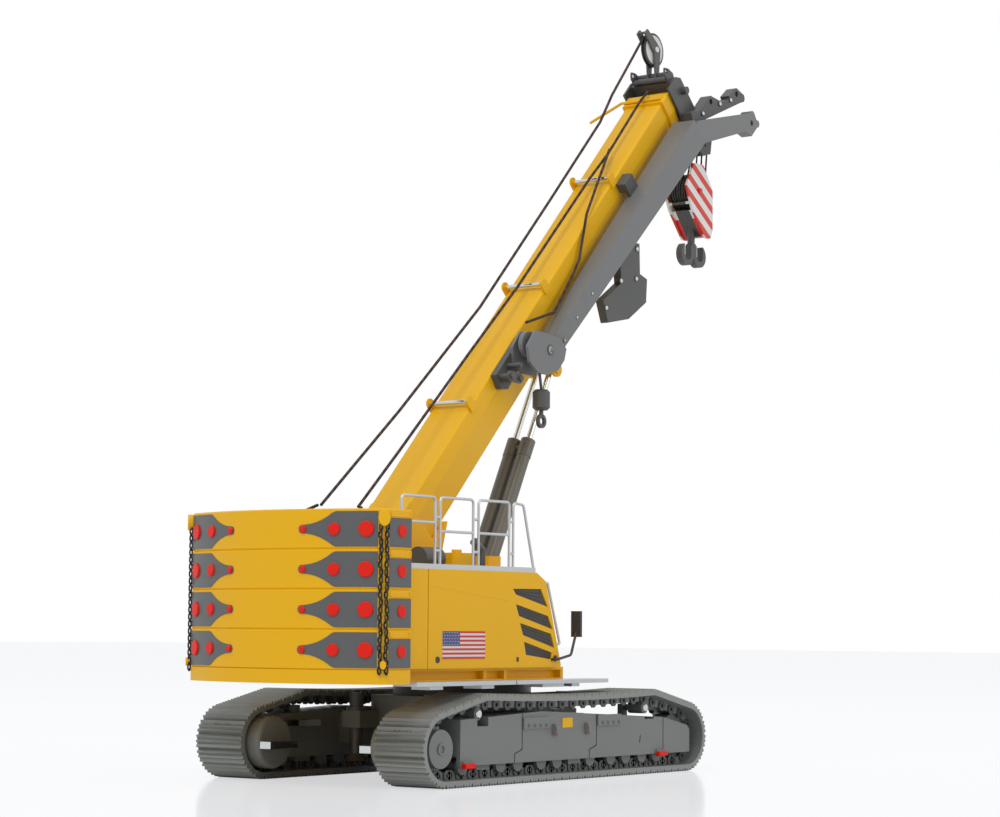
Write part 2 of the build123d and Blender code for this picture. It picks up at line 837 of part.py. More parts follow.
# Handrails: three hoops and a slanted end on the catwalk
rail_x = catwalk_outer_x - rail_radius
rail_base_z = housing_top_z + catwalk_thickness
rail_top_z = housing_top_z + rail_height
rail_hoops = ((-68.7, -53.4, 73.9), (-51.1, -35.5, 71.5), (-32.9, -17.9, 71.5))
rail_end = ((-15.9, 62.2), (-15.9, 81.1), (-10.8, 80.6), (-5.6, 62.2))
rail_bend = 1.2
rail_clamp_zs = (66.0, 75.4)
grab_bar = ((0.45, 57.6), (1.75, 57.9), (8.2, 39.8), (6.4, 39.2))
with BuildPart() as handrails:
    for rear_y, front_y, middle_z in rail_hoops:
        bent_tube(
            [
                (rail_x, rear_y, rail_base_z),
                (rail_x, rear_y, rail_top_z),
                (rail_x, front_y, rail_top_z),
                (rail_x, front_y, rail_base_z),
            ],
            rail_radius,
            rail_bend,
        )
        rod((rail_x, rear_y, middle_z), (rail_x, front_y, middle_z), rail_radius)
    bent_tube([(rail_x, y, z) for y, z in rail_end], rail_radius, rail_bend)
    with Locations((rail_x, housing_rear_y / 2, rail_base_z)):
        Box(
            4 * rail_radius,
            -2 * housing_rear_y,
            2 * rail_radius,
            align=(Align.CENTER, Align.CENTER, Align.MAX),
            mode=Mode.SUBTRACT,
        )
    bent_tube([(rail_x, y, z) for y, z in grab_bar], rail_radius, rail_radius)
    post_ys = [hoop[:2] for hoop in rail_hoops] + [(rail_end[0][0], rail_end[0][0])]
    for (_, near_y), (far_y, _) in zip(post_ys, post_ys[1:]):
        for z in rail_clamp_zs:
            rod((rail_x, near_y, z), (rail_x, far_y, z), rail_radius)
save(handrails, "handrails")

# Side walkway in two lengths, with dark brackets under it
walkway_inner_x = deck_half_width
walkway_outer_x = 37.5
walkway_bottom_z = 28.0
walkway_top_z = 29.2
walkway_lengths = ((-70.0, -23.6), (-23.2, 24.0))
walkway_bracket_ys = ((-60.0, 6.0), (-36.0, 6.0), (-3.5, 11.0), (8.0, 4.0))
walkway_bracket_height = 1.0
with BuildPart() as walkway:
    for rear_y, front_y in walkway_lengths:
        with Locations(
            ((walkway_inner_x + walkway_outer_x) / 2, (rear_y + front_y) / 2, walkway_bottom_z)
        ):
            Box(
                walkway_outer_x - walkway_inner_x,
                front_y - rear_y,
                walkway_top_z - walkway_bottom_z,
                align=(Align.CENTER, Align.CENTER, Align.MIN),
            )
    for y, length in walkway_bracket_ys:
        with Locations(((walkway_inner_x + walkway_outer_x) / 2, y, walkway_bottom_z)):
            Box(
                walkway_outer_x - walkway_inner_x - 2,
                length,
                walkway_bracket_height,
                align=(Align.CENTER, Align.CENTER, Align.MAX),
            )
save(walkway, "walkway")

# Exhaust silencer lying on the housing, with a bent tail pipe
silencer_radius = 3.4
silencer_length = 9.0
silencer_at = (18.0, -41.0)
tailpipe_radius = 1.2
tailpipe_x = 22.0
tailpipe_points = (
    (tailpipe_x, -20.1, housing_top_z),
    (tailpipe_x, -20.1, 67.1),
    (tailpipe_x, -24.1, 69.6),
)
with BuildPart() as exhaust:
    with Locations((silencer_at[0], silencer_at[1], housing_top_z + silencer_radius)):
        Cylinder(silencer_radius, silencer_length, rotation=(90, 0, 0))
    with Locations((silencer_at[0], silencer_at[1], housing_top_z)):
        Box(
            silencer_radius,
            silencer_length - 2,
            silencer_radius,
            align=(Align.CENTER, Align.CENTER, Align.MIN),
        )
    bent_rod(tailpipe_points, tailpipe_radius)
save(exhaust, "exhaust")

# Tank with a dark cap and a service box on the housing
tank_at = (18.0, -27.0)
tank_size = (7.0, 9.0, 5.4)
tank_chamfer = 1.6
box_at = (15.4, -8.0)
box_size = (5.0, 6.0, 5.0)
with BuildPart() as deck_tanks:
    with Locations((tank_at[0], tank_at[1], housing_top_z)):
        Box(*tank_size, align=(Align.CENTER, Align.CENTER, Align.MIN))
    chamfer(deck_tanks.edges().filter_by(Axis.Z), tank_chamfer)
    with Locations((box_at[0], box_at[1], housing_top_z)):
        Box(*box_size, align=(Align.CENTER, Align.CENTER, Align.MIN))
    with Locations((tank_at[0], tank_at[1], housing_top_z + tank_size[2])):
        Cylinder(1.5, 1.0, align=(Align.CENTER, Align.CENTER, Align.MIN))
save(deck_tanks, "deck_tanks")

# Mirror on a bent arm and a grab bar on the housing's front
mirror_points = (
    (housing_outer_x, 3.3, 35.0),
    (housing_outer_x + 2.0, 3.3, 35.0),
    (housing_outer_x + 2.0, 10.5, 36.3),
    (housing_outer_x + 2.0, 13.4, 43.5),
)
with BuildPart() as mirror_arm:
    bent_tube(mirror_points, rail_radius, rail_bend)
    with Locations((housing_outer_x + 2.0, 13.4, 45.6)):
        Box(3.4, 1.0, 7.8)
save(mirror_arm, "mirror_arm")

# Boom towers: two plates and a tie between them
tower_bore_radius = foot_pin_radius + seat_gap
tower_outer_x = tower_inner_x + tower_plate
tower_top_radius = 6.2
with BuildPart() as boom_towers:
    with BuildSketch(side_plane(-tower_outer_x)):
        with BuildLine():
            FilletPolyline(
                (-47.0, deck_top_z),
                (-8.0, deck_top_z),
                (foot_y + tower_top_radius, foot_z - 2),
                (foot_y + tower_top_radius - 2, foot_z + tower_top_radius),
                (foot_y - tower_top_radius + 2, foot_z + tower_top_radius),
                (foot_y - tower_top_radius - 2, foot_z - 4),
                radius=1.8,
                close=True,
            )
        make_face()
        with Locations((foot_y, foot_z)):
            Circle(tower_bore_radius, mode=Mode.SUBTRACT)
    extrude(amount=2 * tower_outer_x)
    with Locations((0, 0, deck_top_z)):
        Box(
            2 * tower_inner_x,
            200,
            foot_z,
            align=(Align.CENTER, Align.CENTER, Align.MIN),
            mode=Mode.SUBTRACT,
        )
    with Locations((0, -40.0, deck_top_z)):
        Box(
            2 * tower_inner_x,
            4.0,
            10.0,
            align=(Align.CENTER, Align.CENTER, Align.MIN),
        )
save(boom_towers, "boom_towers")

# Winches: drums on two plates that stand on the deck
winch_plate_inner_x = drum_half_width + running_gap
winch_plate = 1.8
winch_outer_x = winch_plate_inner_x + winch_plate
drum_flange = 1.0
drum_shaft_radius = 2.4
winch_foot_front_y = -56.0
winch_foot_rear_y = deck_rear_y + 0.4
with BuildPart() as winch_frame:
    with BuildSketch(side_plane(-winch_outer_x)):
        with BuildLine():
            FilletPolyline(
                (winch_foot_rear_y, deck_top_z),
                (winch_foot_front_y, deck_top_z),
                (lower_drum[0] + 6.5, lower_drum[1] + 4),
                (upper_drum[0] + 4.4, upper_drum[1] + 4.0),
                (upper_drum[0] - 4.4, upper_drum[1] + 4.0),
                (lower_drum[0] - 5.0, lower_drum[1] - 4),
                radius=1.5,
                close=True,
            )
        make_face()
        with Locations(upper_drum, lower_drum):
            Circle(drum_shaft_radius + running_gap, mode=Mode.SUBTRACT)
    extrude(amount=2 * winch_outer_x)
    with Locations((0, -70, deck_top_z)):
        Box(
            2 * winch_plate_inner_x,
            40,
            foot_z,
            align=(Align.CENTER, Align.CENTER, Align.MIN),
            mode=Mode.SUBTRACT,
        )
    with Locations((0, -62.0, deck_top_z)):
        Box(
            2 * winch_plate_inner_x,
            3.0,
            7.0,
            align=(Align.CENTER, Align.CENTER, Align.MIN),
        )
save(winch_frame, "winch_frame")


def winch_drum(axis, rope_start, rope_side):
    """Drum full of rope, its flanges and shaft, and the rope's first run from it."""
    with Locations((0, axis[0], axis[1])):
        Cylinder(drum_radius, 2 * drum_half_width, rotation=(0, 90, 0))
        Cylinder(drum_shaft_radius, 2 * winch_outer_x, rotation=(0, 90, 0))
    for end in (-1, 1):
        with Locations((end * (drum_half_width - drum_flange / 2), axis[0], axis[1])):
            Cylinder(drum_flange_radius, drum_flange, rotation=(0, 90, 0))
    x, y, z = rope_start
    away = math.hypot(y - axis[0], z - axis[1])
    reach = drum_radius - rope_radius
    turn = math.atan2(z - axis[1], y - axis[0]) + rope_side * math.acos(reach / away)
    touch = (x, axis[0] + reach * math.cos(turn), axis[1] + reach * math.sin(turn))
    rod(touch, rope_start, rope_radius)


rope_side_step = 1.3
rope_a_x = -4.0
rope_b_x = 1.0
rope_a_points = (
    (-12.9, 41.3),
    (33.7, 36.1),
    (86.6, 31.8),
    (141.0, 31.6),
    (183.1, 31.8),
    (195.7, 33.9),
)
rope_b_points = (
    (-5.7, 33.4),
    (20.4, 31.8),
    (67.3, 29.5),
    (101.5, 27.5),
    (158.5, 26.5),
    (172.7, 25.6),
    (201.4, 26.1),
    (208.0, 25.5),
)
with BuildPart() as upper_winch:
    winch_drum(upper_drum, boom_point(rope_a_x - rope_side_step, *rope_a_points[0]), 1)
save(upper_winch, "upper_winch")
with BuildPart() as lower_winch:
    winch_drum(lower_drum, boom_point(rope_b_x + rope_side_step, *rope_b_points[0]), -1)
save(lower_winch, "lower_winch")

# Cab: a shell with window openings, panes set in them, and a seat
cab_width = cab_inner_x - cab_outer_x
cab_x = (cab_inner_x + cab_outer_x) / 2
cab_y = (cab_front_y + cab_rear_y) / 2
cab_slope = 4.0
cab_shoulder_z = 40.0
sill_z = 42.0
head_z = 63.5
door_rear_y = -19.5
door_front_y = 0.5
windscreen_half_width = cab_width / 2 - 2.2
roof_window = (10.0, 14.0)


def cab_side_outline(inset):
    """Side view of the cab, with a nose that leans back above the shoulder."""
    with BuildLine() as outline:
        Polyline(
            (cab_rear_y + inset, cab_bottom_z + inset),
            (cab_front_y - inset, cab_bottom_z + inset),
            (cab_front_y - inset, cab_shoulder_z),
            (cab_front_y - cab_slope - inset, cab_top_z - inset),
            (cab_rear_y + inset, cab_top_z - inset),
            close=True,
        )
    make_face(outline.edges())


with BuildPart() as cab_shell:
    with BuildSketch(side_plane(cab_outer_x)):
        cab_side_outline(0)
    extrude(amount=cab_width)
    fillet(cab_shell.edges().filter_by(Axis.X).group_by(Axis.Z)[-1], 2.2)
    with BuildSketch(side_plane(cab_outer_x + cab_wall)):
        cab_side_outline(cab_wall)
    extrude(amount=cab_width - 2 * cab_wall, mode=Mode.SUBTRACT)
    with BuildSketch(side_plane(cab_outer_x - 1)):
        with BuildLine():
            Polyline(
                (door_rear_y, sill_z),
                (door_front_y + 1.5, sill_z),
                (door_front_y, head_z),
                (door_rear_y, head_z),
                close=True,
            )
        make_face()
    extrude(amount=cab_width + 2, mode=Mode.SUBTRACT)
    with Locations((cab_x, cab_front_y, (sill_z + head_z) / 2)):
        Box(
            2 * windscreen_half_width,
            3 * cab_slope,
            head_z - sill_z,
            mode=Mode.SUBTRACT,
        )
    with Locations((cab_x, cab_rear_y, (sill_z + head_z) / 2 + 4)):
        Box(2 * windscreen_half_width, 4 * cab_wall, head_z - sill_z - 8, mode=Mode.SUBTRACT)
    with Locations((cab_x, cab_y - 1, cab_top_z)):
        Box(roof_window[0], roof_window[1], 4 * cab_wall, mode=Mode.SUBTRACT)
save(cab_shell, "cab_shell")

glass_inset = (cab_wall - glass_thickness) / 2
with BuildPart() as cab_glass:
    for pane_x in (cab_outer_x + glass_inset, cab_inner_x - glass_inset - glass_thickness):
        with BuildSketch(side_plane(pane_x)):
            with BuildLine():
                Polyline(
                    (door_rear_y, sill_z),
                    (door_front_y + 1.5, sill_z),
                    (door_front_y, head_z),
                    (door_rear_y, head_z),
                    close=True,
                )
            make_face()
        extrude(amount=glass_thickness)
    with BuildSketch(side_plane(cab_x - windscreen_half_width)):
        with BuildLine():
            lean = cab_slope / (cab_top_z - cab_shoulder_z)
            low_y = cab_front_y - lean * (sill_z - cab_shoulder_z) - glass_inset
            high_y = cab_front_y - lean * (head_z - cab_shoulder_z) - glass_inset
            Polyline(
                (low_y, sill_z),
                (high_y, head_z),
                (high_y - glass_thickness, head_z),
                (low_y - glass_thickness, sill_z),
                close=True,
            )
        make_face()
    extrude(amount=2 * windscreen_half_width)
    with Locations((cab_x, cab_rear_y + cab_wall / 2, (sill_z + head_z) / 2 + 4)):
        Box(2 * windscreen_half_width, glass_thickness, head_z - sill_z - 8)
    with Locations((cab_x, cab_y - 1, cab_top_z - cab_wall / 2)):
        Box(roof_window[0], roof_window[1], glass_thickness)
save(cab_glass, "cab_glass")

cab_floor_z = cab_bottom_z + cab_wall
with BuildPart() as cab_seat:
    with Locations((cab_x, cab_y - 4, cab_floor_z)):
        Box(6.0, 6.0, 6.0, align=(Align.CENTER, Align.CENTER, Align.MIN))
    with Locations((cab_x, cab_y - 4, cab_floor_z + 6.0)):
        Box(8.0, 8.5, 2.4, align=(Align.CENTER, Align.CENTER, Align.MIN))
    with Locations((cab_x, cab_y - 8, cab_floor_z + 8.0)):
        Box(8.0, 2.2, 11.0, align=(Align.CENTER, Align.CENTER, Align.MIN))
save(cab_seat, "cab_seat")


# Telescopic boom sections, nested with a small gap
def section_face(inset, mode=Mode.ADD):
    """Section of the boom moved inwards by inset: flat top, upright sides, tapered lower part."""
    run = boom_half_width - boom_bottom_half_width
    rise = boom_crease_n - boom_bottom_n
    slant = math.hypot(run, rise)
    level = (boom_half_width * rise - boom_crease_n * run) / slant - inset
    half = boom_half_width - inset
    low_n = boom_bottom_n + inset
    crease_n = (half * rise - level * slant) / run
    low_half = (level * slant + low_n * run) / rise
    with BuildLine() as outline:
        FilletPolyline(
            (half, boom_top_n - inset),
            (half, crease_n),
            (low_half, low_n),
            (-low_half, low_n),
            (-half, crease_n),
            (-half, boom_top_n - inset),
            radius=boom_corner_radius,
            close=True,
        )
    make_face(outline.edges(), mode=mode)


boom_corner_radius = 0.7
boom_tail_u = -6.0
boom_collar_u = boom_length - 2.0
nest_start_u = 9.0
foot_block_end_u = 7.0
lug_inner_x = 4.4
lug_thickness = 1.0
lug_u = 94.0
lug_n = -1.5
lug_radius = 2.4
with BuildPart() as boom_base:
    with BuildSketch(boom_section(foot_block_end_u)):
        section_face(0)
        section_face(boom_wall, mode=Mode.SUBTRACT)
    extrude(amount=boom_collar_u + collar_length - foot_block_end_u)
    with BuildSketch(boom_section(boom_collar_u)):
        section_face(-(tower_inner_x - boom_half_width))
        section_face(boom_wall, mode=Mode.SUBTRACT)
    extrude(amount=collar_length)
    with BuildSketch(boom_side(-boom_half_width)):
        with BuildLine():
            Polyline(
                (boom_tail_u, boom_top_n),
                (boom_tail_u, 4.0),
                (-foot_radius + 1, 0),
                (foot_radius - 1, 0),
                (foot_block_end_u + 9, boom_bottom_n),
                (foot_block_end_u, boom_bottom_n),
                (foot_block_end_u, boom_top_n),
                close=True,
            )
        make_face()
        Circle(foot_radius)
    extrude(amount=2 * boom_half_width)
    with BuildSketch(boom_side(-tower_outer_x - running_gap)):
        Circle(foot_pin_radius)
    extrude(amount=2 * (tower_outer_x + running_gap))
    for side in (-1, 1):
        with BuildSketch(boom_side(side * (tower_outer_x + running_gap))):
            Circle(foot_pin_radius + 1.2)
        extrude(amount=side * 1.0)
        with BuildSketch(boom_side(side * lug_inner_x)):
            with BuildLine():
                Polyline(
                    (lug_u - lug_radius, boom_bottom_n + 0.4),
                    (lug_u - lug_radius, lug_n),
                    (lug_u + lug_radius, lug_n),
                    (lug_u + 6.5, boom_bottom_n + 0.4),
                    close=True,
                )
            make_face()
            with Locations((lug_u, lug_n)):
                Circle(lug_radius)
        extrude(amount=side * lug_thickness)
        with BuildSketch(boom_side(side * (lug_inner_x + lug_thickness))):
            with Locations((lug_u, lug_n)):
                Circle(1.5)
        extrude(amount=side * 0.6)
save(boom_base, "boom_base")

# Rope guides: a round rod across the boom at three places, held by ears
ear_half = 1.6
ear_thickness = 0.6
head_bar_radius = 0.5
head_bar_n = boom_top_n + collar_rise - 0.3 + head_bar_radius
head_bar_points = (
    (-22.0, boom_length - 4.0, 20.5),
    (-boom_half_width - 1.5, boom_length - 0.5, head_bar_n),
    (boom_half_width, boom_length - 0.5, head_bar_n),
)
with BuildPart() as rope_guides:
    for u in rope_rod_us:
        rod(
            boom_point(-boom_half_width, u, rope_rod_n),
            boom_point(boom_half_width, u, rope_rod_n),
            rope_rod_radius,
        )
        for side in (-1, 1):
            with BuildSketch(boom_side(side * boom_half_width)):
                with Locations((u, boom_top_n)):
                    Rectangle(2 * ear_half, 2 * ear_half)
                with Locations((u, rope_rod_n)):
                    Circle(ear_half)
            extrude(amount=side * ear_thickness)
    bent_rod([boom_point(*point) for point in head_bar_points], head_bar_radius)
save(rope_guides, "rope_guides")

collar_step = 0.6
collar_plate = 0.9
for index in range(2, section_count + 1):
    inset = boom_wall + section_gap + (index - 2) * (section_wall + section_gap)
    collar_u = boom_collar_u + collar_length + running_gap
    collar_u += (index - 2) * (collar_plate + running_gap)
    with BuildPart() as section:
        with BuildSketch(boom_section(nest_start_u)):
            section_face(inset)
            section_face(inset + section_wall, mode=Mode.SUBTRACT)
        extrude(amount=collar_u + collar_plate - nest_start_u)
        with BuildSketch(boom_section(collar_u)):
            section_face((index - 2) * collar_step)
            section_face(inset + section_wall, mode=Mode.SUBTRACT)
        extrude(amount=collar_plate)
    save(section, f"boom_section_{index}")
head_rear_u = (
    boom_collar_u + collar_length + running_gap + 4 * (collar_plate + running_gap) - running_gap
)

# Boom head: a block with side plates, nose plates down to the sheave axle, and axle
head_block_half_width = head_plate_x
head_bottom_n = 8.0
head_top_n = 25.0
side_plate_rear_u = 208.0
side_plate_thickness = 0.8
nose_inner_x = 4.0
nose_plate = 0.8
axle_radius = 1.0
fork_inner_x = 1.2
fork_plate = 0.7
whip_width = 1.6
whip_pin_radius = 0.9
fork_bar_n = whip_n + whip_radius + 2.0
fork_bar_radius = 0.45
head_lug_x = 6.4
head_lug_eye = (214.6, 28.4)
head_rollers = ((213.6, 26.2), (216.4, 26.0))
head_roller_radius = 1.0
side_boss = (215.0, 19.5)
side_boss_radius = 1.3
with BuildPart() as boom_head:
    with BuildSketch(boom_side(-head_block_half_width)):
        with BuildLine():
            Polyline(
                (head_rear_u, head_bottom_n),
                (head_front_u, head_bottom_n),
                (head_front_u, head_top_n - 1.5),
                (head_front_u - 1.5, head_top_n),
                (head_rear_u, head_top_n),
                close=True,
            )
        make_face()
    extrude(amount=2 * head_block_half_width)
    for side in (-1, 1):
        with BuildSketch(boom_side(side * head_block_half_width)):
            with BuildLine():
                Polyline(
                    (side_plate_rear_u, head_bottom_n + 2),
                    (head_front_u, head_bottom_n + 2),
                    (head_front_u, head_top_n - 1.5),
                    (head_front_u - 2, head_top_n + 0.4),
                    (side_plate_rear_u, head_top_n + 0.4),
                    close=True,
                )
            make_face()
        extrude(amount=side * side_plate_thickness)
        with BuildSketch(boom_side(side * nose_inner_x)):
            with BuildLine():
                Polyline(
                    (head_rear_u, head_top_n - 3),
                    (head_front_u, head_top_n - 1),
                    (221.5, 14.0),
                    (head_sheave_u + 4.6, head_sheave_n + 4),
                    (head_sheave_u + 4.2, head_sheave_n - 2),
                    (head_sheave_u, head_sheave_n - 4.8),
                    (head_sheave_u - 4.2, head_sheave_n - 2),
                    (head_rear_u + 0.6, 2.0),
                    (head_rear_u, head_bottom_n),
                    close=True,
                )
            make_face()
        extrude(amount=side * nose_plate)
    rod(
        boom_point(-nose_inner_x - nose_plate - 0.6, head_sheave_u, head_sheave_n),
        boom_point(nose_inner_x + nose_plate + 0.6, head_sheave_u, head_sheave_n),
        axle_radius,
    )
    for side in (-1, 1):
        with BuildSketch(boom_side(side * fork_inner_x)):
            with BuildLine():
                Polyline(
                    (head_rear_u + 0.4, head_top_n),
                    (head_front_u - 1.5, head_top_n),
                    (whip_u + 1.9, whip_n - 1.5),
                    (whip_u + 1.9, whip_n + 1.5),
                    (whip_u + 0.6, fork_bar_n + fork_bar_radius),
                    (whip_u - 1.6, fork_bar_n + fork_bar_radius),
                    (whip_u - 1.9, whip_n),
                    close=True,
                )
            make_face()
        extrude(amount=side * fork_plate)
        with BuildSketch(boom_side(side * head_lug_x)):
            with BuildLine():
                Polyline(
                    (head_rear_u, head_top_n - 2),
                    (head_front_u - 0.6, head_top_n - 2),
                    (head_front_u + 0.4, head_top_n + 0.5),
                    (head_lug_eye[0] + 1.6, head_lug_eye[1]),
                    (head_lug_eye[0], head_lug_eye[1] + 1.6),
                    (head_lug_eye[0] - 1.6, head_lug_eye[1]),
                    close=True,
                )
            make_face()
            with Locations(head_lug_eye):
                Circle(0.8, mode=Mode.SUBTRACT)
        extrude(amount=side * fork_plate)
    for u, n in head_rollers:
        rod(boom_point(-head_lug_x, u, n), boom_point(head_lug_x, u, n), head_roller_radius)
    rod(
        boom_point(-fork_inner_x - fork_plate, whip_u - 0.7, fork_bar_n),
        boom_point(fork_inner_x + fork_plate, whip_u - 0.7, fork_bar_n),
        fork_bar_radius,
    )
    rod(
        boom_point(head_block_half_width, *side_boss),
        boom_point(head_block_half_width + 2.6, *side_boss),
        side_boss_radius,
    )
    rod(
        boom_point(-fork_inner_x - fork_plate, whip_u, whip_n),
        boom_point(fork_inner_x + fork_plate, whip_u, whip_n),
        whip_pin_radius,
    )
save(boom_head, "boom_head")

# Head sheaves side by side on the axle
sheave_width = 1.6
sheave_groove = 0.8
groove_depth = 0.5
head_sheave_xs = (-3.0, -1.0, 1.0, 3.0)


def grooved_sheave(center, width, radius, bore_radius):
    """Disc across the machine with a rope groove round its rim, added to the open part."""
    rim = (width - sheave_groove) / 2
    with Locations(center):
        Cylinder(radius - groove_depth, width, rotation=(0, 90, 0))
    for end in (-1, 1):
        with Locations((center[0] + end * (width - rim) / 2, center[1], center[2])):
            Cylinder(radius, rim, rotation=(0, 90, 0))
    with Locations(center):
        Cylinder(bore_radius, 2 * width, rotation=(0, 90, 0), mode=Mode.SUBTRACT)


with BuildPart() as head_sheaves:
    for x in head_sheave_xs:
        grooved_sheave(
            boom_point(x, head_sheave_u, head_sheave_n),
            sheave_width,
            head_sheave_radius,
            axle_radius,
        )
save(head_sheaves, "head_sheaves")

# Whip sheave on the pin of the fork on top of the head
with BuildPart() as whip_sheave:
    grooved_sheave(
        boom_point(0, whip_u, whip_n), whip_width, whip_radius, whip_pin_radius + seat_gap
    )
save(whip_sheave, "whip_sheave")

# Runner bracket on the head's right side, with two bores for the jib's pins
runner_x = head_block_half_width + side_plate_thickness
runner_width = 3.6
runner_bore_radius = 1.0
runner_bores = ((222.1, 9.0), (238.1, 0.5))
runner_ear_radius = 2.1
runner_pins = ((214.6, 9.5), (226.2, 5.0), (233.0, 1.6))
runner_pin_radius = 0.8
runner_start = (side_plate_rear_u, 12.2)
runner_end = (240.4, -2.9)
runner_half_depth = 1.7


def runner_bar(start, end, start_half, end_half):
    """Tapered bar of the runner bracket between two places on the boom's side."""
    lean = math.atan2(end[1] - start[1], end[0] - start[0])
    across = (-math.sin(lean), math.cos(lean))
    with BuildLine() as outline:
        Polyline(
            (start[0] + across[0] * start_half, start[1] + across[1] * start_half),
            (end[0] + across[0] * end_half, end[1] + across[1] * end_half),
            (end[0] - across[0] * end_half, end[1] - across[1] * end_half),
            (start[0] - across[0] * start_half, start[1] - across[1] * start_half),
            close=True,
        )
    return outline.edges()


with BuildPart() as runner_bracket:
    with BuildSketch(boom_side(runner_x)):
        make_face(runner_bar(runner_start, runner_end, runner_half_depth + 0.5, 1.3))
        make_face(
            runner_bar(runner_pins[0], runner_bores[0], runner_half_depth, runner_ear_radius)
        )
        make_face(runner_bar(runner_pins[1], runner_bores[0], 1.2, runner_ear_radius))
        make_face(
            runner_bar(runner_pins[2], runner_bores[1], runner_half_depth, runner_ear_radius)
        )
        make_face(runner_bar(runner_bores[1], runner_end, runner_ear_radius, 1.4))
        with Locations(*runner_bores):
            Circle(runner_ear_radius)
        with Locations(runner_end):
            Circle(1.5)
        with Locations(*runner_bores):
            Circle(runner_bore_radius, mode=Mode.SUBTRACT)
    extrude(amount=runner_width)
    for u, n in runner_pins:
        rod(
            boom_point(runner_x + runner_width - 1, u, n),
            boom_point(runner_x + runner_width + 0.4, u, n),
            runner_pin_radius,
        )
save(runner_bracket, "runner_bracket")

# Stowed jib: a tapered box along the boom's right side, its tip and its foot cheeks
tip_inner_x = runner_x + runner_width + running_gap + 0.5
tip_outer_x = jib_left_x + jib_head_width
tip_bore_radius = 1.0
tip_bore = (232.0, -8.4)
tip_ears = ((234.6, -6.6), (235.0, -11.0))
tip_ear_radius = 1.3
with BuildPart() as jib_arm:
    with BuildSketch(boom_section(jib_foot_u)):
        with Locations((-(jib_left_x + jib_foot_width / 2), jib_top_n - jib_foot_depth / 2)):
            Rectangle(jib_foot_width, jib_foot_depth)
    with BuildSketch(boom_section(jib_head_u)):
        with Locations((-(jib_left_x + jib_head_width / 2), jib_top_n - jib_head_depth / 2)):
            Rectangle(jib_head_width, jib_head_depth)
    loft()
    with BuildSketch(boom_side(tip_inner_x)):
        with BuildLine():
            Polyline(
                (jib_head_u, jib_top_n - 2.0),
                (jib_head_u, jib_top_n - jib_head_depth),
                (226.6, -8.0),
                (228.6, -11.6),
                (235.0, -11.8),
                (236.0, -7.0),
                (233.0, -4.8),
                (207.5, 11.5),
                close=True,
            )
        make_face()
        with Locations(*tip_ears):
            Circle(tip_ear_radius)
        with Locations(tip_bore):
            Circle(tip_bore_radius, mode=Mode.SUBTRACT)
    extrude(amount=tip_outer_x - tip_inner_x)
save(jib_arm, "jib_arm")

cheek_inner_x = 9.5
cheek_plate = 1.0
cheek_outer_x = 15.4
jib_sheave_x = 13.0
jib_sheave_u = 79.0
jib_sheave_n = 21.5
jib_sheave_radius = 4.0
jib_pin = (83.2, 15.3)
cheek_points = (
    (81.9, 24.6),
    (jib_foot_u - 0.2, 14.5),
    (jib_foot_u - 0.2, 9.6),
    (86.7, 8.0),
    (81.9, 8.0),
    (76.8, 10.6),
    (73.3, 14.7),
    (72.4, 20.0),
    (75.0, 24.0),
)
with BuildPart() as jib_foot:
    for x in (cheek_inner_x, cheek_outer_x):
        with BuildSketch(boom_side(x)):
            with BuildLine():
                Polyline(*cheek_points, close=True)
            make_face()
        extrude(amount=cheek_plate)
    with BuildSketch(boom_side(cheek_inner_x)):
        with BuildLine():
            Polyline(
                (jib_foot_u - 6.0, 10.0),
                (jib_foot_u, 9.6),
                (jib_foot_u, 15.0),
                (jib_foot_u - 6.0, 14.0),
                close=True,
            )
        make_face()
    extrude(amount=cheek_outer_x + cheek_plate - cheek_inner_x)
    rod(
        boom_point(cheek_inner_x, jib_sheave_u, jib_sheave_n),
        boom_point(cheek_outer_x + cheek_plate, jib_sheave_u, jib_sheave_n),
        axle_radius,
    )
    rod(
        boom_point(cheek_outer_x, *jib_pin),
        boom_point(cheek_outer_x + cheek_plate + 0.5, *jib_pin),
        axle_radius,
    )
    with BuildSketch(boom_side(jib_sheave_x - whip_width / 2)):
        with Locations((jib_sheave_u, jib_sheave_n)):
            Circle(jib_sheave_radius)
    extrude(amount=whip_width)
save(jib_foot, "jib_foot")

# Brackets that hold the jib on the boom, and the folded stow arm under it
bracket_points = (
    (62.5, 18.0),
    (65.0, 15.6),
    (76.0, 16.4),
    (79.0, 18.0),
    (79.0, 22.6),
    (70.0, 22.8),
    (63.5, 22.8),
)
bracket_pins = ((64.8, 21.0), (67.5, 17.6), (70.2, 20.6))
bracket_pin_x = 14.6
bracket_pin_radius = 0.9
bracket_link = 1.6
with BuildPart() as jib_brackets:
    with BuildSketch(boom_side(boom_half_width)):
        with BuildLine():
            Polyline(*bracket_points, close=True)
        make_face()
        with Locations((164.0, jib_top_n + 3.6)):
            Rectangle(6.0, 3.4)
    extrude(amount=cheek_inner_x - boom_half_width)
    with BuildSketch(boom_side(cheek_inner_x)):
        with Locations((164.0, jib_top_n + 2.6)):
            Rectangle(6.0, 5.2)
    extrude(amount=1.4)
    for u, n in bracket_pins:
        rod(
            boom_point(boom_half_width + 1, u, n),
            boom_point(bracket_pin_x, u, n),
            bracket_pin_radius,
        )
    with BuildSketch(boom_side(bracket_pin_x - bracket_link)):
        make_face(runner_bar(bracket_pins[0], bracket_pins[1], 1.6, 1.6))
        with Locations(*bracket_pins[:2]):
            Circle(1.6)
    extrude(amount=bracket_link / 2)
save(jib_brackets, "jib_brackets")


def jib_bottom_n(u):
    """Height of the jib's underside at a distance along the boom."""
    share = (u - jib_foot_u) / (jib_head_u - jib_foot_u)
    return jib_top_n - jib_foot_depth - share * (jib_head_depth - jib_foot_depth)


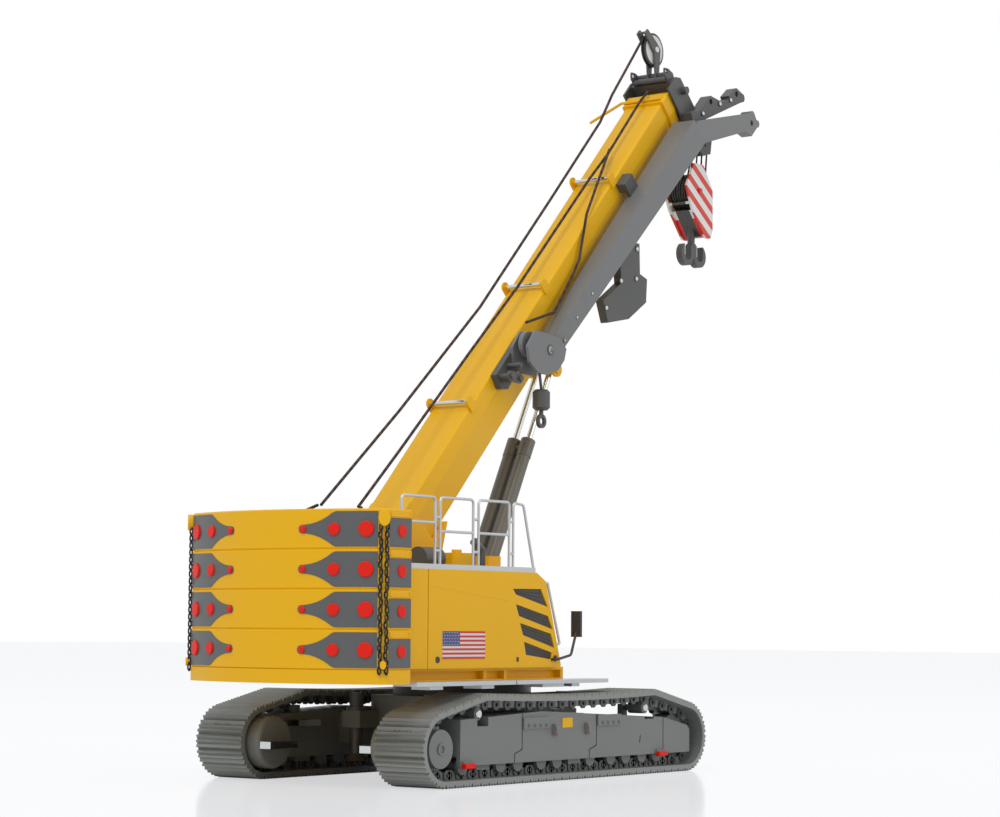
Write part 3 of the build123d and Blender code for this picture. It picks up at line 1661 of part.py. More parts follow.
with BuildPart() as stow_arm:
    with BuildSketch(boom_side(cheek_inner_x + 0.5)):
        with BuildLine():
            Polyline(
                (118.0, -3.0),
                (121.0, 4.0),
                (133.5, 1.0),
                (138.6, jib_bottom_n(138.6)),
                (147.0, jib_bottom_n(147.0)),
                (151.0, 3.2),
                (144.0, -4.0),
                (146.0, -8.0),
                (140.0, -13.0),
                (128.0, -10.0),
                close=True,
            )
        make_face()
    extrude(amount=3.0)
save(stow_arm, "stow_arm")

# Overhaul weight with its hook, hung from the jib's foot sheave
weight_at = boom_point(jib_sheave_x, 72.0, 4.6)
overhaul_radius = 2.75
overhaul_length = 6.5
with BuildPart() as overhaul_weight:
    with Locations(weight_at):
        Cylinder(overhaul_radius, overhaul_length)
    chamfer(overhaul_weight.edges().filter_by(GeomType.CIRCLE), 0.8)
    hang = (weight_at[0], weight_at[1], weight_at[2] + overhaul_length / 2)
    sheave_at = boom_point(jib_sheave_x, jib_sheave_u, jib_sheave_n)
    reach = jib_sheave_radius + rope_radius + seat_gap
    away = math.hypot(hang[1] - sheave_at[1], hang[2] - sheave_at[2])
    turn = math.atan2(hang[2] - sheave_at[2], hang[1] - sheave_at[1])
    turn += math.acos(reach / away)
    touch = (
        jib_sheave_x,
        sheave_at[1] + reach * math.cos(turn),
        sheave_at[2] + reach * math.sin(turn),
    )
    rod(hang, touch, rope_radius)
    with Locations((weight_at[0], weight_at[1], weight_at[2] - overhaul_length / 2)):
        Cylinder(0.7, 1.6, align=(Align.CENTER, Align.CENTER, Align.MAX))
    with BuildSketch(side_plane(weight_at[0] - 0.5)):
        with Locations((weight_at[1], weight_at[2] - overhaul_length / 2 - 3.4)):
            Circle(2.2)
            Circle(1.2, mode=Mode.SUBTRACT)
    extrude(amount=1.0)
save(overhaul_weight, "overhaul_weight")

# Hoist ropes along the boom
rope_c_points = (
    (1.5, 174.0, 26.5),
    (7.9, 140.0, 25.3),
    (8.6, 125.0, 18.2),
    (9.0, 118.0, 17.4),
    (10.5, 100.0, 17.0),
    (12.4, 84.0, 26.3),
)
with BuildPart() as hoist_ropes:
    whip_top = (whip_u - 1.0, whip_n + whip_radius + rope_radius + seat_gap)
    bent_rod(
        [boom_point(rope_a_x, u, n) for u, n in rope_a_points]
        + [boom_point(rope_a_x * 0.3, 214.0, 37.8), boom_point(0, *whip_top)],
        rope_radius,
    )
    bent_rod([boom_point(rope_b_x, u, n) for u, n in rope_b_points], rope_radius)
    bent_rod([boom_point(*point) for point in rope_c_points], rope_radius)
save(hoist_ropes, "hoist_ropes")

# Lift cylinders: two barrels on the deck's foot pin and two rods under the boom
cylinder_angle = math.atan2(rod_eye_z - barrel_foot_z, rod_eye_y - barrel_foot_y)
cylinder_length = math.hypot(rod_eye_z - barrel_foot_z, rod_eye_y - barrel_foot_y)
barrel_eye_radius = 2.9
barrel_pin_radius = 1.0
barrel_eye_half_width = 4.8
bracket_inner_x = barrel_eye_half_width + running_gap
bracket_plate = 1.2
barrel_tube_radius = barrel_radius - 0.15


def along_cylinder(x, distance):
    """World place at a distance from the foot pin along a lift cylinder."""
    return (
        x,
        barrel_foot_y + distance * math.cos(cylinder_angle),
        barrel_foot_z + distance * math.sin(cylinder_angle),
    )


with BuildPart() as cylinder_foot:
    for side in (-1, 1):
        with BuildSketch(side_plane(side * bracket_inner_x)):
            with BuildLine():
                Polyline(
                    (barrel_foot_y - 5, deck_top_z),
                    (barrel_foot_y + 5, deck_top_z),
                    (barrel_foot_y + 2.6, barrel_foot_z),
                    (barrel_foot_y - 2.6, barrel_foot_z),
                    close=True,
                )
            make_face()
            with Locations((barrel_foot_y, barrel_foot_z)):
                Circle(2.6)
        extrude(amount=side * bracket_plate)
    rod(
        (-bracket_inner_x - bracket_plate - 0.6, barrel_foot_y, barrel_foot_z),
        (bracket_inner_x + bracket_plate + 0.6, barrel_foot_y, barrel_foot_z),
        barrel_pin_radius,
    )
save(cylinder_foot, "cylinder_foot")

with BuildPart() as cylinder_barrels:
    rod(
        (-barrel_eye_half_width, barrel_foot_y, barrel_foot_z),
        (barrel_eye_half_width, barrel_foot_y, barrel_foot_z),
        barrel_eye_radius,
    )
    for side in (-1, 1):
        x = side * barrel_offset_x
        rod(along_cylinder(x, 0), along_cylinder(x, barrel_length), barrel_tube_radius)
        rod(
            along_cylinder(x, barrel_length - barrel_collar_length),
            along_cylinder(x, barrel_length),
            barrel_radius,
        )
    rod(
        along_cylinder(-barrel_offset_x, barrel_length - 2.5),
        along_cylinder(barrel_offset_x, barrel_length - 2.5),
        1.0,
    )
    for side in (-1, 1):
        x = side * barrel_offset_x
        start = along_cylinder(x, barrel_eye_radius + 2.0)
        bore = Plane(origin=start, z_dir=Vector(*along_cylinder(x, 50)) - Vector(*start))
        with Locations(bore.location):
            Cylinder(
                barrel_bore_radius,
                barrel_length,
                align=(Align.CENTER, Align.CENTER, Align.MIN),
                mode=Mode.SUBTRACT,
            )
    with Locations((0, barrel_foot_y, barrel_foot_z)):
        Cylinder(
            barrel_pin_radius + seat_gap,
            4 * barrel_eye_half_width,
            rotation=(0, 90, 0),
            mode=Mode.SUBTRACT,
        )
save(cylinder_barrels, "cylinder_barrels")

rod_start = 32.0
with BuildPart() as cylinder_rods:
    for side in (-1, 1):
        x = side * barrel_offset_x
        rod(along_cylinder(x, rod_start), along_cylinder(x, cylinder_length), rod_radius)
    rod(
        along_cylinder(-barrel_offset_x - rod_eye_width / 2, cylinder_length),
        along_cylinder(barrel_offset_x + rod_eye_width / 2, cylinder_length),
        rod_eye_radius,
    )
save(cylinder_rods, "cylinder_rods")

# Hook block hung from the head sheaves by two bundles of falls
hook_y = 130.8
hook_axle_z = 197.0
block_cheek_x = block_half_width + 0.6
block_spacer_radius = 0.5
shank_radius = 1.3
shank_top_z = block_bottom_z + 5.4
block_cheek_top_z = 206.5
block_body_top_z = 190.4
block_cheek_points = (
    (block_y - 5.0, block_body_top_z),
    (block_y + 3.6, block_bottom_z),
    (block_y + 7.2, block_bottom_z),
    (block_y + block_half_length, block_bottom_z + 3.5),
    (block_y + block_half_length, block_cheek_top_z - 8),
    (block_y + 2.5, block_cheek_top_z),
    (block_y - 3.5, block_cheek_top_z),
    (block_y - block_half_length, block_cheek_top_z - 8.5),
)
block_spacers = ((block_y - 5.4, 192.4), (block_y + 6.2, 193.3))
with BuildPart() as hook_block:
    for side in (-1, 1):
        with BuildSketch(side_plane(side * block_cheek_x)):
            with BuildLine():
                FilletPolyline(*block_cheek_points, radius=1.2, close=True)
            make_face()
        extrude(amount=side * cheek_thickness)
    with BuildSketch(side_plane(-block_cheek_x)):
        with BuildLine():
            Polyline(
                (block_y - 3.6, block_body_top_z - 0.4),
                (block_y + 4.0, block_bottom_z + 0.6),
                (block_y + 6.8, block_bottom_z + 0.6),
                (block_y + 7.8, block_bottom_z + 3.6),
                (block_y + 7.8, block_body_top_z - 0.4),
                close=True,
            )
        make_face()
    extrude(amount=2 * block_cheek_x)
    with Locations((0, hook_y, shank_top_z + seat_gap)):
        Cylinder(
            shank_radius + seat_gap,
            shank_top_z - block_bottom_z,
            align=(Align.CENTER, Align.CENTER, Align.MAX),
            mode=Mode.SUBTRACT,
        )
    for y, z in block_spacers:
        rod((-block_cheek_x, y, z), (block_cheek_x, y, z), block_spacer_radius)
    with Locations((0, block_y, hook_axle_z)):
        Cylinder(axle_radius, 2 * block_cheek_x + 2 * cheek_thickness + 1.2, rotation=(0, 90, 0))
save(hook_block, "hook_block")
block_sheave_radius = 6.2
with BuildPart() as block_sheaves:
    for x in head_sheave_xs:
        grooved_sheave(
            (x, block_y, hook_axle_z), sheave_width, block_sheave_radius, axle_radius
        )
save(block_sheaves, "block_sheaves")

axle_y = boom_point(0, head_sheave_u, head_sheave_n)[1]
axle_z = boom_point(0, head_sheave_u, head_sheave_n)[2]
fall_step = fall_radius + seat_gap - groove_depth
front_high, front_low = tangent_between(
    (axle_y, axle_z),
    head_sheave_radius + fall_step,
    (block_y, hook_axle_z),
    block_sheave_radius + fall_step,
)
rear_low, rear_high = tangent_between(
    (block_y, hook_axle_z),
    block_sheave_radius + fall_step,
    (axle_y, axle_z),
    head_sheave_radius + fall_step,
)
with BuildPart() as hook_falls:
    for x in head_sheave_xs:
        rod((x, *front_low), (x, *front_high), fall_radius)
        rod((x, *rear_low), (x, *rear_high), fall_radius)
save(hook_falls, "hook_falls")

hook_thickness = 2.4
horn_outer = 4.0
horn_inner = 2.0
horn_z = 175.0
with BuildPart() as ramshorn_hook:
    with BuildSketch(side_plane(-hook_thickness / 2)):
        for side in (-1, 1):
            with Locations((hook_y + side * (horn_outer - 0.1), horn_z)):
                Circle(horn_outer)
        for side in (-1, 1):
            with Locations((hook_y + side * (horn_outer - 0.1), horn_z)):
                Circle(horn_inner, mode=Mode.SUBTRACT)
            with Locations((hook_y + side * (horn_outer - 0.1), horn_z)):
                Rectangle(
                    2 * horn_inner,
                    2 * horn_outer,
                    align=(Align.CENTER, Align.MIN),
                    mode=Mode.SUBTRACT,
                )
        with Locations((hook_y, horn_z - 1)):
            Rectangle(2.6, 5.0, align=(Align.CENTER, Align.MIN))
    extrude(amount=hook_thickness)
    rod((0, hook_y, horn_z + 3), (0, hook_y, shank_top_z), shank_radius)
save(ramshorn_hook, "ramshorn_hook")
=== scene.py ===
# %% [markdown]
# A 1:50 die-cast crawler crane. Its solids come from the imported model, already in their places
# and in metres. This script gives each of them its finish, adds the small parts that such a
# casting carries, and lights the crane on a pale table.

import math

import bmesh
import bpy
from mathutils import Matrix, Vector


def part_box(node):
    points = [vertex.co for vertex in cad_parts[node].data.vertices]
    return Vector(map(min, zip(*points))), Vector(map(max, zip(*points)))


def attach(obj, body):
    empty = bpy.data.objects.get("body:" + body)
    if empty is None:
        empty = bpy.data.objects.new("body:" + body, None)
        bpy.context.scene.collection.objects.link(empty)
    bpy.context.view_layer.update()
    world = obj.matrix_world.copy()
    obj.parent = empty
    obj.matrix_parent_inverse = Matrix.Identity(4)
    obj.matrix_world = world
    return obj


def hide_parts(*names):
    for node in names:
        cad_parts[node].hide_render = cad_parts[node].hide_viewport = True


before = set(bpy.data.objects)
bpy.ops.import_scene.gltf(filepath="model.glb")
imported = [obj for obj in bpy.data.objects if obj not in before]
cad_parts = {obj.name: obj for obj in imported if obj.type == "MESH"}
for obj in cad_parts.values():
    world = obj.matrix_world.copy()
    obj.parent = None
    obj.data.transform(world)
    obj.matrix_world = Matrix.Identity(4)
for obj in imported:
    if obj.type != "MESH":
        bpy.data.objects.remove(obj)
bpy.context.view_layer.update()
MM = 0.001

# %% [markdown]
# The camera stands low behind the crane's right side, as the photographer's did. Its place and
# turn were worked out from edges whose size is known, so it is written as a point and three
# angles: yaw turns it left from straight ahead, pitch tips it up and roll leans it. Aiming it
# at a target would take fewer numbers, but such a camera can't lean.

# %% Camera
CAMERA_AT_MM = (474.3039, -625.3802, 44.71855)
CAMERA_YAW = 0.634975
CAMERA_PITCH = 0.08498596
CAMERA_ROLL = 0.00723253
FOCAL_PIXELS = 2557.8645
IMAGE_WIDTH = 1000
SENSOR_MM = 36.0
NEAREST_SEEN = 0.01
FARTHEST_SEEN = 20.0


def camera_axes(yaw, pitch, roll):
    """Right, up and forward directions of the camera."""
    forward = Vector(
        (-math.sin(yaw) * math.cos(pitch), math.cos(yaw) * math.cos(pitch), math.sin(pitch))
    )
    right = Vector((math.cos(yaw), math.sin(yaw), 0.0))
    up = right.cross(forward)
    turned_right = math.cos(roll) * right + math.sin(roll) * up
    turned_up = -math.sin(roll) * right + math.cos(roll) * up
    return turned_right, turned_up, forward


right, up, forward = camera_axes(CAMERA_YAW, CAMERA_PITCH, CAMERA_ROLL)
camera_data = bpy.data.cameras.new("camera")
camera_data.sensor_width = SENSOR_MM
camera_data.lens = FOCAL_PIXELS / IMAGE_WIDTH * SENSOR_MM
camera_data.clip_start = NEAREST_SEEN
camera_data.clip_end = FARTHEST_SEEN
camera = bpy.data.objects.new("camera", camera_data)
turn = Matrix((right, up, -forward)).transposed().to_4x4()
camera.matrix_world = Matrix.Translation(Vector(CAMERA_AT_MM) * MM) @ turn
bpy.context.scene.collection.objects.link(camera)
bpy.context.scene.camera = camera
bpy.context.scene.view_settings.view_transform = "Standard"
print("camera lens", round(camera_data.lens, 1), "mm")

# %% [markdown]
# Small helpers for shader nodes. A finish could be put together by hand in the editor, but the
# same few steps return in each, so they are named once. Every finish reads Object coordinates,
# so a pattern stays on its piece and keeps its real size when a joint moves.

# %% Shader helpers


def srgb(red, green, blue):
    """Colour as a picture editor writes it, 0 to 255, as linear values for a shader."""
    values = []
    for channel in (red, green, blue):
        share = channel / 255
        values.append(share / 12.92 if share <= 0.04045 else ((share + 0.055) / 1.055) ** 2.4)
    return (*values, 1.0)


def new_group(name, inputs, outputs):
    """Empty shader group with named sockets: (name, type, default) in, (name, type) out."""
    group = bpy.data.node_groups.new(name, "ShaderNodeTree")
    for label, kind, default in inputs:
        socket = group.interface.new_socket(label, in_out="INPUT", socket_type=kind)
        socket.default_value = default
    for label, kind in outputs:
        group.interface.new_socket(label, in_out="OUTPUT", socket_type=kind)
    return group, group.nodes.new("NodeGroupInput"), group.nodes.new("NodeGroupOutput")


def new_material(name):
    """Material with its nodes, its links and its main shader."""
    material = bpy.data.materials.new(name)
    material.use_nodes = True
    tree = material.node_tree
    return material, tree.nodes, tree.links, tree.nodes["Principled BSDF"]


def set_inputs(node, values):
    """Write plain values on the named sockets of a node."""
    for label, value in values.items():
        node.inputs[label].default_value = value


print("middle grey in linear light", round(srgb(128, 128, 128)[0], 3))

# %% [markdown]
# Die-cast paint isn't one flat colour: it pools a little, picks up dust in its corners and has
# a fine orange peel. Each paint could carry its own noise, but one group makes all three for
# every paint, with sizes in the model's metres, so they can be tuned in one place.

# %% Paint group
DUST_TONE = srgb(196, 190, 176)


def build_paint_group():
    """Colour, roughness and height of sprayed paint over a casting."""
    group, given, result = new_group(
        "sprayed_paint",
        (
            ("Color", "NodeSocketColor", (0.8, 0.8, 0.8, 1)),
            ("Dust", "NodeSocketFloat", 0.06),
            ("Roughness", "NodeSocketFloat", 0.4),
            ("Cloud scale", "NodeSocketFloat", 60.0),
            ("Peel scale", "NodeSocketFloat", 1800.0),
        ),
        (
            ("Color", "NodeSocketColor"),
            ("Roughness", "NodeSocketFloat"),
            ("Height", "NodeSocketFloat"),
        ),
    )
    nodes, links = group.nodes, group.links
    place = nodes.new("ShaderNodeTexCoord")
    cloud = nodes.new("ShaderNodeTexNoise")
    set_inputs(cloud, {"Detail": 4.0})
    links.new(place.outputs["Object"], cloud.inputs["Vector"])
    links.new(given.outputs["Cloud scale"], cloud.inputs["Scale"])
    dusty = nodes.new("ShaderNodeMix")
    dusty.data_type = "RGBA"
    set_inputs(dusty, {"B": DUST_TONE})
    amount = nodes.new("ShaderNodeMath")
    amount.operation = "MULTIPLY"
    links.new(cloud.outputs["Fac"], amount.inputs[0])
    links.new(given.outputs["Dust"], amount.inputs[1])
    links.new(amount.outputs["Value"], dusty.inputs["Factor"])
    links.new(given.outputs["Color"], dusty.inputs["A"])
    links.new(dusty.outputs["Result"], result.inputs["Color"])
    rough = nodes.new("ShaderNodeMapRange")
    set_inputs(rough, {"From Min": 0.3, "From Max": 0.7, "To Min": -0.06, "To Max": 0.08})
    links.new(cloud.outputs["Fac"], rough.inputs["Value"])
    total = nodes.new("ShaderNodeMath")
    total.operation = "ADD"
    links.new(rough.outputs["Result"], total.inputs[0])
    links.new(given.outputs["Roughness"], total.inputs[1])
    links.new(total.outputs["Value"], result.inputs["Roughness"])
    peel = nodes.new("ShaderNodeTexNoise")
    set_inputs(peel, {"Detail": 2.0})
    links.new(place.outputs["Object"], peel.inputs["Vector"])
    links.new(given.outputs["Peel scale"], peel.inputs["Scale"])
    links.new(peel.outputs["Fac"], result.inputs["Height"])
    return group


paint_group = build_paint_group()
print(paint_group.name, "has", len(paint_group.nodes), "nodes")

# %% [markdown]
# A paint is the group with a colour, an amount of dust and a gloss of its own. The orange peel
# goes into a bump, because it is far finer than any mesh here. The crane has three main
# paints, yellow, grey and silver, and some small parts in black, white, red and bright metal.

# %% Paints
PEEL_HEIGHT = 0.00005


def painted(name, color, dust=0.06, roughness=0.4, metallic=0.0, gloss=0.5, bump=0.12):
    """Material of sprayed paint, with its own colour, dust and gloss."""
    material, nodes, links, shader = new_material(name)
    paint = nodes.new("ShaderNodeGroup")
    paint.node_tree = paint_group
    set_inputs(paint, {"Color": color, "Dust": dust, "Roughness": roughness})
    links.new(paint.outputs["Color"], shader.inputs["Base Color"])
    links.new(paint.outputs["Roughness"], shader.inputs["Roughness"])
    set_inputs(shader, {"Metallic": metallic, "Specular IOR Level": gloss})
    relief = nodes.new("ShaderNodeBump")
    set_inputs(relief, {"Strength": bump, "Distance": PEEL_HEIGHT})
    links.new(paint.outputs["Height"], relief.inputs["Height"])
    links.new(relief.outputs["Normal"], shader.inputs["Normal"])
    material.diffuse_color = color
    return material


yellow_paint = painted(
    "yellow_paint", srgb(240, 182, 2), dust=0.015, roughness=0.38, gloss=0.3
)
dark_paint = painted("dark_paint", srgb(62, 64, 66), dust=0.14, roughness=0.45)
frame_grey = painted("frame_grey", srgb(114, 119, 117), dust=0.12, roughness=0.45)
track_grey = painted("track_grey", srgb(132, 136, 134), dust=0.14, roughness=0.42, metallic=0.35)
# chain grey: the chain's own dark metal, darkened further as painted shade
chain_grey_and_shade = painted("chain_grey_and_shade", srgb(82, 85, 84), dust=0.1, roughness=0.42, metallic=0.3)
black_plastic = painted("black_plastic", srgb(30, 30, 31), dust=0.08, roughness=0.5)
white_paint = painted("white_paint", srgb(222, 222, 218), dust=0.05, roughness=0.35)
red_paint = painted("red_paint", srgb(232, 26, 4), dust=0.01, roughness=0.4, gloss=0.25)
black_steel = painted("black_steel", srgb(26, 26, 27), dust=0.05, roughness=0.38, metallic=0.4)
chrome = painted("chrome", srgb(205, 208, 208), dust=0.03, roughness=0.16, metallic=1.0, bump=0.05)
silver_paint = painted(
    "silver_paint", srgb(196, 200, 202), dust=0.05, roughness=0.34, metallic=0.5
)
jib_grey = painted("jib_grey", srgb(112, 113, 114), dust=0.05, roughness=0.36)
cylinder_grey = painted("cylinder_grey", srgb(98, 94, 84), dust=0.08, roughness=0.38)
sheave_black = painted("sheave_black", srgb(34, 33, 33), dust=0.08, roughness=0.42)
print("paints", len([material for material in bpy.data.materials if material.use_nodes]))

# %% [markdown]
# The model's ropes are dark twisted thread. Modelled strands would cost many faces on a thread
# half a millimetre thick, so a wave texture, bent by noise, reads as strands from the
# camera's distance. The same wave drives a bump and the colour: painted shade darkens the
# grooves between strands and painted light brightens their crowns. The wound rope on the
# drums gets a finer wave that isn't tilted.

# %% Rope material
STRAND_BEND = 1.2
STRAND_HEIGHT = 0.0002
# dark end: painted shade in the grooves; light end: the thread's brown with painted light on the
# crowns
THREAD_GROOVE_SHADE, THREAD_CROWN_LIT = srgb(30, 20, 17), srgb(78, 56, 46)


def rope_material(name, scale, tilt):
    """Dark brown twisted thread with painted shade between strands, at a scale and turned by three
    angles.
    """
    material, nodes, links, shader = new_material(name)
    place = nodes.new("ShaderNodeTexCoord")
    strands = nodes.new("ShaderNodeTexWave")
    strands.bands_direction = "X"
    set_inputs(strands, {"Scale": scale, "Distortion": STRAND_BEND})
    tilted = nodes.new("ShaderNodeMapping")
    set_inputs(tilted, {"Rotation": tilt})
    links.new(place.outputs["Object"], tilted.inputs["Vector"])
    links.new(tilted.outputs["Vector"], strands.inputs["Vector"])
    # strand colours follow the bump's height: painted shade low, painted light high
    shades = nodes.new("ShaderNodeValToRGB")
    shades.color_ramp.elements[0].color = THREAD_GROOVE_SHADE
    shades.color_ramp.elements[1].color = THREAD_CROWN_LIT
    links.new(strands.outputs["Fac"], shades.inputs["Fac"])
    links.new(shades.outputs["Color"], shader.inputs["Base Color"])
    relief = nodes.new("ShaderNodeBump")
    set_inputs(relief, {"Distance": STRAND_HEIGHT})
    links.new(strands.outputs["Fac"], relief.inputs["Height"])
    links.new(relief.outputs["Normal"], shader.inputs["Normal"])
    set_inputs(shader, {"Roughness": 0.8})
    return material


rope_thread = rope_material("rope_thread", 260.0, (0.0, 0.6, 0.9))
wound_rope = rope_material("wound_rope", 330.0, (0.0, 0.0, 0.0))
print("rope materials", rope_thread.name, wound_rope.name)

# %% [markdown]
# The cab's panes are thin clear plastic. Plain transmission with a light tint lets the seat
# show through, and a little noise in tint and roughness keeps them from looking like air.

# %% Glass
PANE_DARK, PANE_LIGHT = srgb(196, 208, 206), srgb(214, 224, 222)


def glass_material():
    """Clear tinted plastic of the cab's windows."""
    material, nodes, links, shader = new_material("cab_pane")
    set_inputs(shader, {"Transmission Weight": 0.92, "IOR": 1.45})
    place = nodes.new("ShaderNodeTexCoord")
    haze = nodes.new("ShaderNodeTexNoise")
    set_inputs(haze, {"Scale": 220.0})
    links.new(place.outputs["Object"], haze.inputs["Vector"])
    tint = nodes.new("ShaderNodeValToRGB")
    tint.color_ramp.elements[0].color = PANE_DARK
    tint.color_ramp.elements[1].color = PANE_LIGHT
    links.new(haze.outputs["Fac"], tint.inputs["Fac"])
    links.new(tint.outputs["Color"], shader.inputs["Base Color"])
    smear = nodes.new("ShaderNodeMapRange")
    set_inputs(smear, {"To Min": 0.02, "To Max": 0.09})
    links.new(haze.outputs["Fac"], smear.inputs["Value"])
    links.new(smear.outputs["Result"], shader.inputs["Roughness"])
    return material


cab_pane = glass_material()
print("glass", cab_pane.name)

# %% [markdown]
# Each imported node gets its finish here: grey undercarriage and jib, yellow upper works and
# boom, bright rods and rails, dark ropes. Most of the crane is yellow, so only the others are
# listed, and every node that isn't named takes the yellow paint.

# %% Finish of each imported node
FINISHES = {
    "carbody": frame_grey,
    "slew_ring": dark_paint,
    "track_frame_left": frame_grey,
    "track_frame_right": frame_grey,
    "track_left": track_grey,
    "track_right": track_grey,
    "rollers_left": frame_grey,
    "rollers_right": frame_grey,
    "sprocket_left": frame_grey,
    "sprocket_right": frame_grey,
    "final_drives": frame_grey,
    "jacks": dark_paint,
    "steps": chrome,
    "catwalk": silver_paint,
    "walkway": silver_paint,
    "handrails": silver_paint,
    "winch_frame": dark_paint,
    "mirror_arm": black_plastic,
    "exhaust": dark_paint,
    "ballast_chains": black_steel,
    "upper_winch": wound_rope,
    "lower_winch": wound_rope,
    "hoist_ropes": rope_thread,
    "hook_falls": rope_thread,
    "cab_glass": cab_pane,
    "cab_seat": black_plastic,
    "cylinder_foot": dark_paint,
    "cylinder_barrels": cylinder_grey,
    "cylinder_rods": chrome,
    "jib_arm": jib_grey,
    "jib_foot": jib_grey,
    "jib_brackets": dark_paint,
    "stow_arm": dark_paint,
    "overhaul_weight": dark_paint,
    "boom_head": dark_paint,
    "runner_bracket": dark_paint,
    "head_sheaves": sheave_black,
    "whip_sheave": sheave_black,
    "block_sheaves": sheave_black,
    "ramshorn_hook": dark_paint,
}
for name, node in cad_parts.items():
    node.data.materials.clear()
    node.data.materials.append(FINISHES.get(name, yellow_paint))
print("nodes in yellow", len(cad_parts) - len(FINISHES))

# %% [markdown]
# The small parts are made in millimetres at the origin, each as a short-lived mesh. Two shapes
# cover most of them: a block and a disc. Real parts have no razor edges, so both are bevelled,
# and since each is bevelled alone, no bevel can reach into its neighbour.

# %% Blocks and discs


def round_edges(part, edges, offset):
    """Bevel some edges of a part with one flat step."""
    bmesh.ops.bevel(
        part, geom=edges, offset=offset, segments=1, profile=0.5, affect="EDGES", material=-1
    )


def soft_block(size, edge=0.12):
    """Block with its edges rounded, centred on the origin."""
    part = bmesh.new()
    bmesh.ops.create_cube(part, size=1.0)
    bmesh.ops.scale(part, vec=size, verts=part.verts)
    round_edges(part, part.edges[:], edge)
    return part


def soft_disc(radius, height, sides=16, edge=0.08):
    """Round disc standing on the origin, its upper rim rounded."""
    part = bmesh.new()
    bmesh.ops.create_cone(
        part, cap_ends=True, segments=sides, radius1=radius, radius2=radius, depth=height
    )
    bmesh.ops.translate(part, vec=(0, 0, height / 2), verts=part.verts)
    if edge:
        rim = [e for e in part.edges if all(v.co.z > 0.99 * height for v in e.verts)]
        round_edges(part, rim, edge)
    return part


sample = soft_block((1.0, 1.0, 1.0))
print("a bevelled block has", len(sample.faces), "faces")
sample.free()

# %% [markdown]
# Two more shapes: a flat ring, spun from a small square, and a plate cut to an outline. A ring
# could be a disc with a hole cut in it, but a spin gives clean quads and needs no cutting.

# %% Rings and plates
MERGE_WITHIN = 0.0001


def spin_round(part, geometry, steps):
    """Full turn of a profile about the origin's Z, its start and end merged."""
    bmesh.ops.spin(
        part,
        geom=geometry,
        cent=(0, 0, 0),
        axis=(0, 0, 1),
        angle=math.tau,
        steps=steps,
        use_merge=True,
    )
    bmesh.ops.remove_doubles(part, verts=part.verts, dist=MERGE_WITHIN)


def spun_ring(outer, inner, height, sides=16):
    """Flat ring standing on the origin."""
    part = bmesh.new()
    corners = [
        part.verts.new(corner)
        for corner in ((inner, 0, 0), (outer, 0, 0), (outer, 0, height), (inner, 0, height))
    ]
    profile = part.faces.new(corners)
    edges = profile.edges[:]
    bmesh.ops.delete(part, geom=[profile], context="FACES_ONLY")
    spin_round(part, edges + corners, sides)
    bmesh.ops.recalc_face_normals(part, faces=part.faces)
    return part


def cut_plate(outline, thickness, edge=0.1):
    """Flat plate of an outline in its own X and Y, standing on the origin's plane."""
    part = bmesh.new()
    face = part.faces.new([part.verts.new((x, y, 0)) for x, y in outline])
    raised = bmesh.ops.extrude_face_region(part, geom=[face])["geom"]
    lifted = [v for v in raised if isinstance(v, bmesh.types.BMVert)]
    bmesh.ops.translate(part, vec=(0, 0, thickness), verts=lifted)
    bmesh.ops.recalc_face_normals(part, faces=part.faces)
    if edge:
        rim = [e for e in part.edges if all(v in lifted for v in e.verts)]
        round_edges(part, rim, edge)
    return part


sample = spun_ring(2.0, 1.0, 0.5)
print("a spun ring has", len(sample.faces), "faces")
sample.free()

# %% [markdown]
# A part is put in its place by one matrix and merged into the piece that it belongs to. The
# piece is scaled to metres at the end, so its object can stay at the origin, unturned. Parts
# on the boom are written along it, u up the boom and n square to it, as they were measured.

# %% Placing and finishing
RIGHT = (1, 0, 0)
BOOM_ANGLE = math.radians(46.3)
BOOM_FOOT = (0, -24.0, 60.0)
on_boom = Matrix.Translation(BOOM_FOOT) @ Matrix.Rotation(BOOM_ANGLE, 4, "X")


def facing(place, way):
    """Matrix that stands a part at a place with its own Z along a direction."""
    turn = Vector(way).to_track_quat("Z", "Y").to_matrix().to_4x4()
    return Matrix.Translation(Vector(place)) @ turn


def leaning(place, angle):
    """Matrix that puts a part at a place, turned about the machine's X by an angle."""
    return Matrix.Translation(place) @ Matrix.Rotation(angle, 4, "X")


def on_side(x, z=0.0, side=1):
    """Matrix that stands a flat outline, written in Y and Z, on one side of the machine."""
    return Matrix(((0, 0, side, side * x), (1, 0, 0, 0), (0, 1, 0, z), (0, 0, 0, 1)))


def right_side(node):
    """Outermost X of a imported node, in millimetres."""
    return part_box(node)[1].x / MM


def add_part(shape, part, place, material=0):
    """Merge a part into a piece's mesh, put in its place, with one of the piece's materials."""
    part.transform(place)
    for face in part.faces:
        face.material_index = material
    step = bpy.data.meshes.new("step")
    part.to_mesh(step)
    part.free()
    shape.from_mesh(step)
    bpy.data.meshes.remove(step)


def finish_piece(name, shape, materials, body):
    """Object from a mesh in millimetres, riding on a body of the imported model."""
    bmesh.ops.scale(shape, vec=(MM, MM, MM), verts=shape.verts)
    mesh = bpy.data.meshes.new(name)
    shape.to_mesh(mesh)
    shape.free()
    for material in materials:
        mesh.materials.append(material)
    piece = bpy.data.objects.new(name, mesh)
    bpy.context.scene.collection.objects.link(piece)
    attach(piece, body)
    print(name, len(mesh.polygons), "faces")
    return piece


print("boom foot", BOOM_FOOT, "mm, boom at", round(math.degrees(BOOM_ANGLE), 1), "degrees")

# %% [markdown]
# Each ballast slab carries grey patches at its rear corners. They are thin sheets that follow
# the slab's round rear, full height at the corner and drawn in to a round nub. A cut outline
# would stay flat, so a grid is made and moved onto that shape, then a solidify gives it
# thickness. The slabs' ends carry a plain rectangle of the same grey.

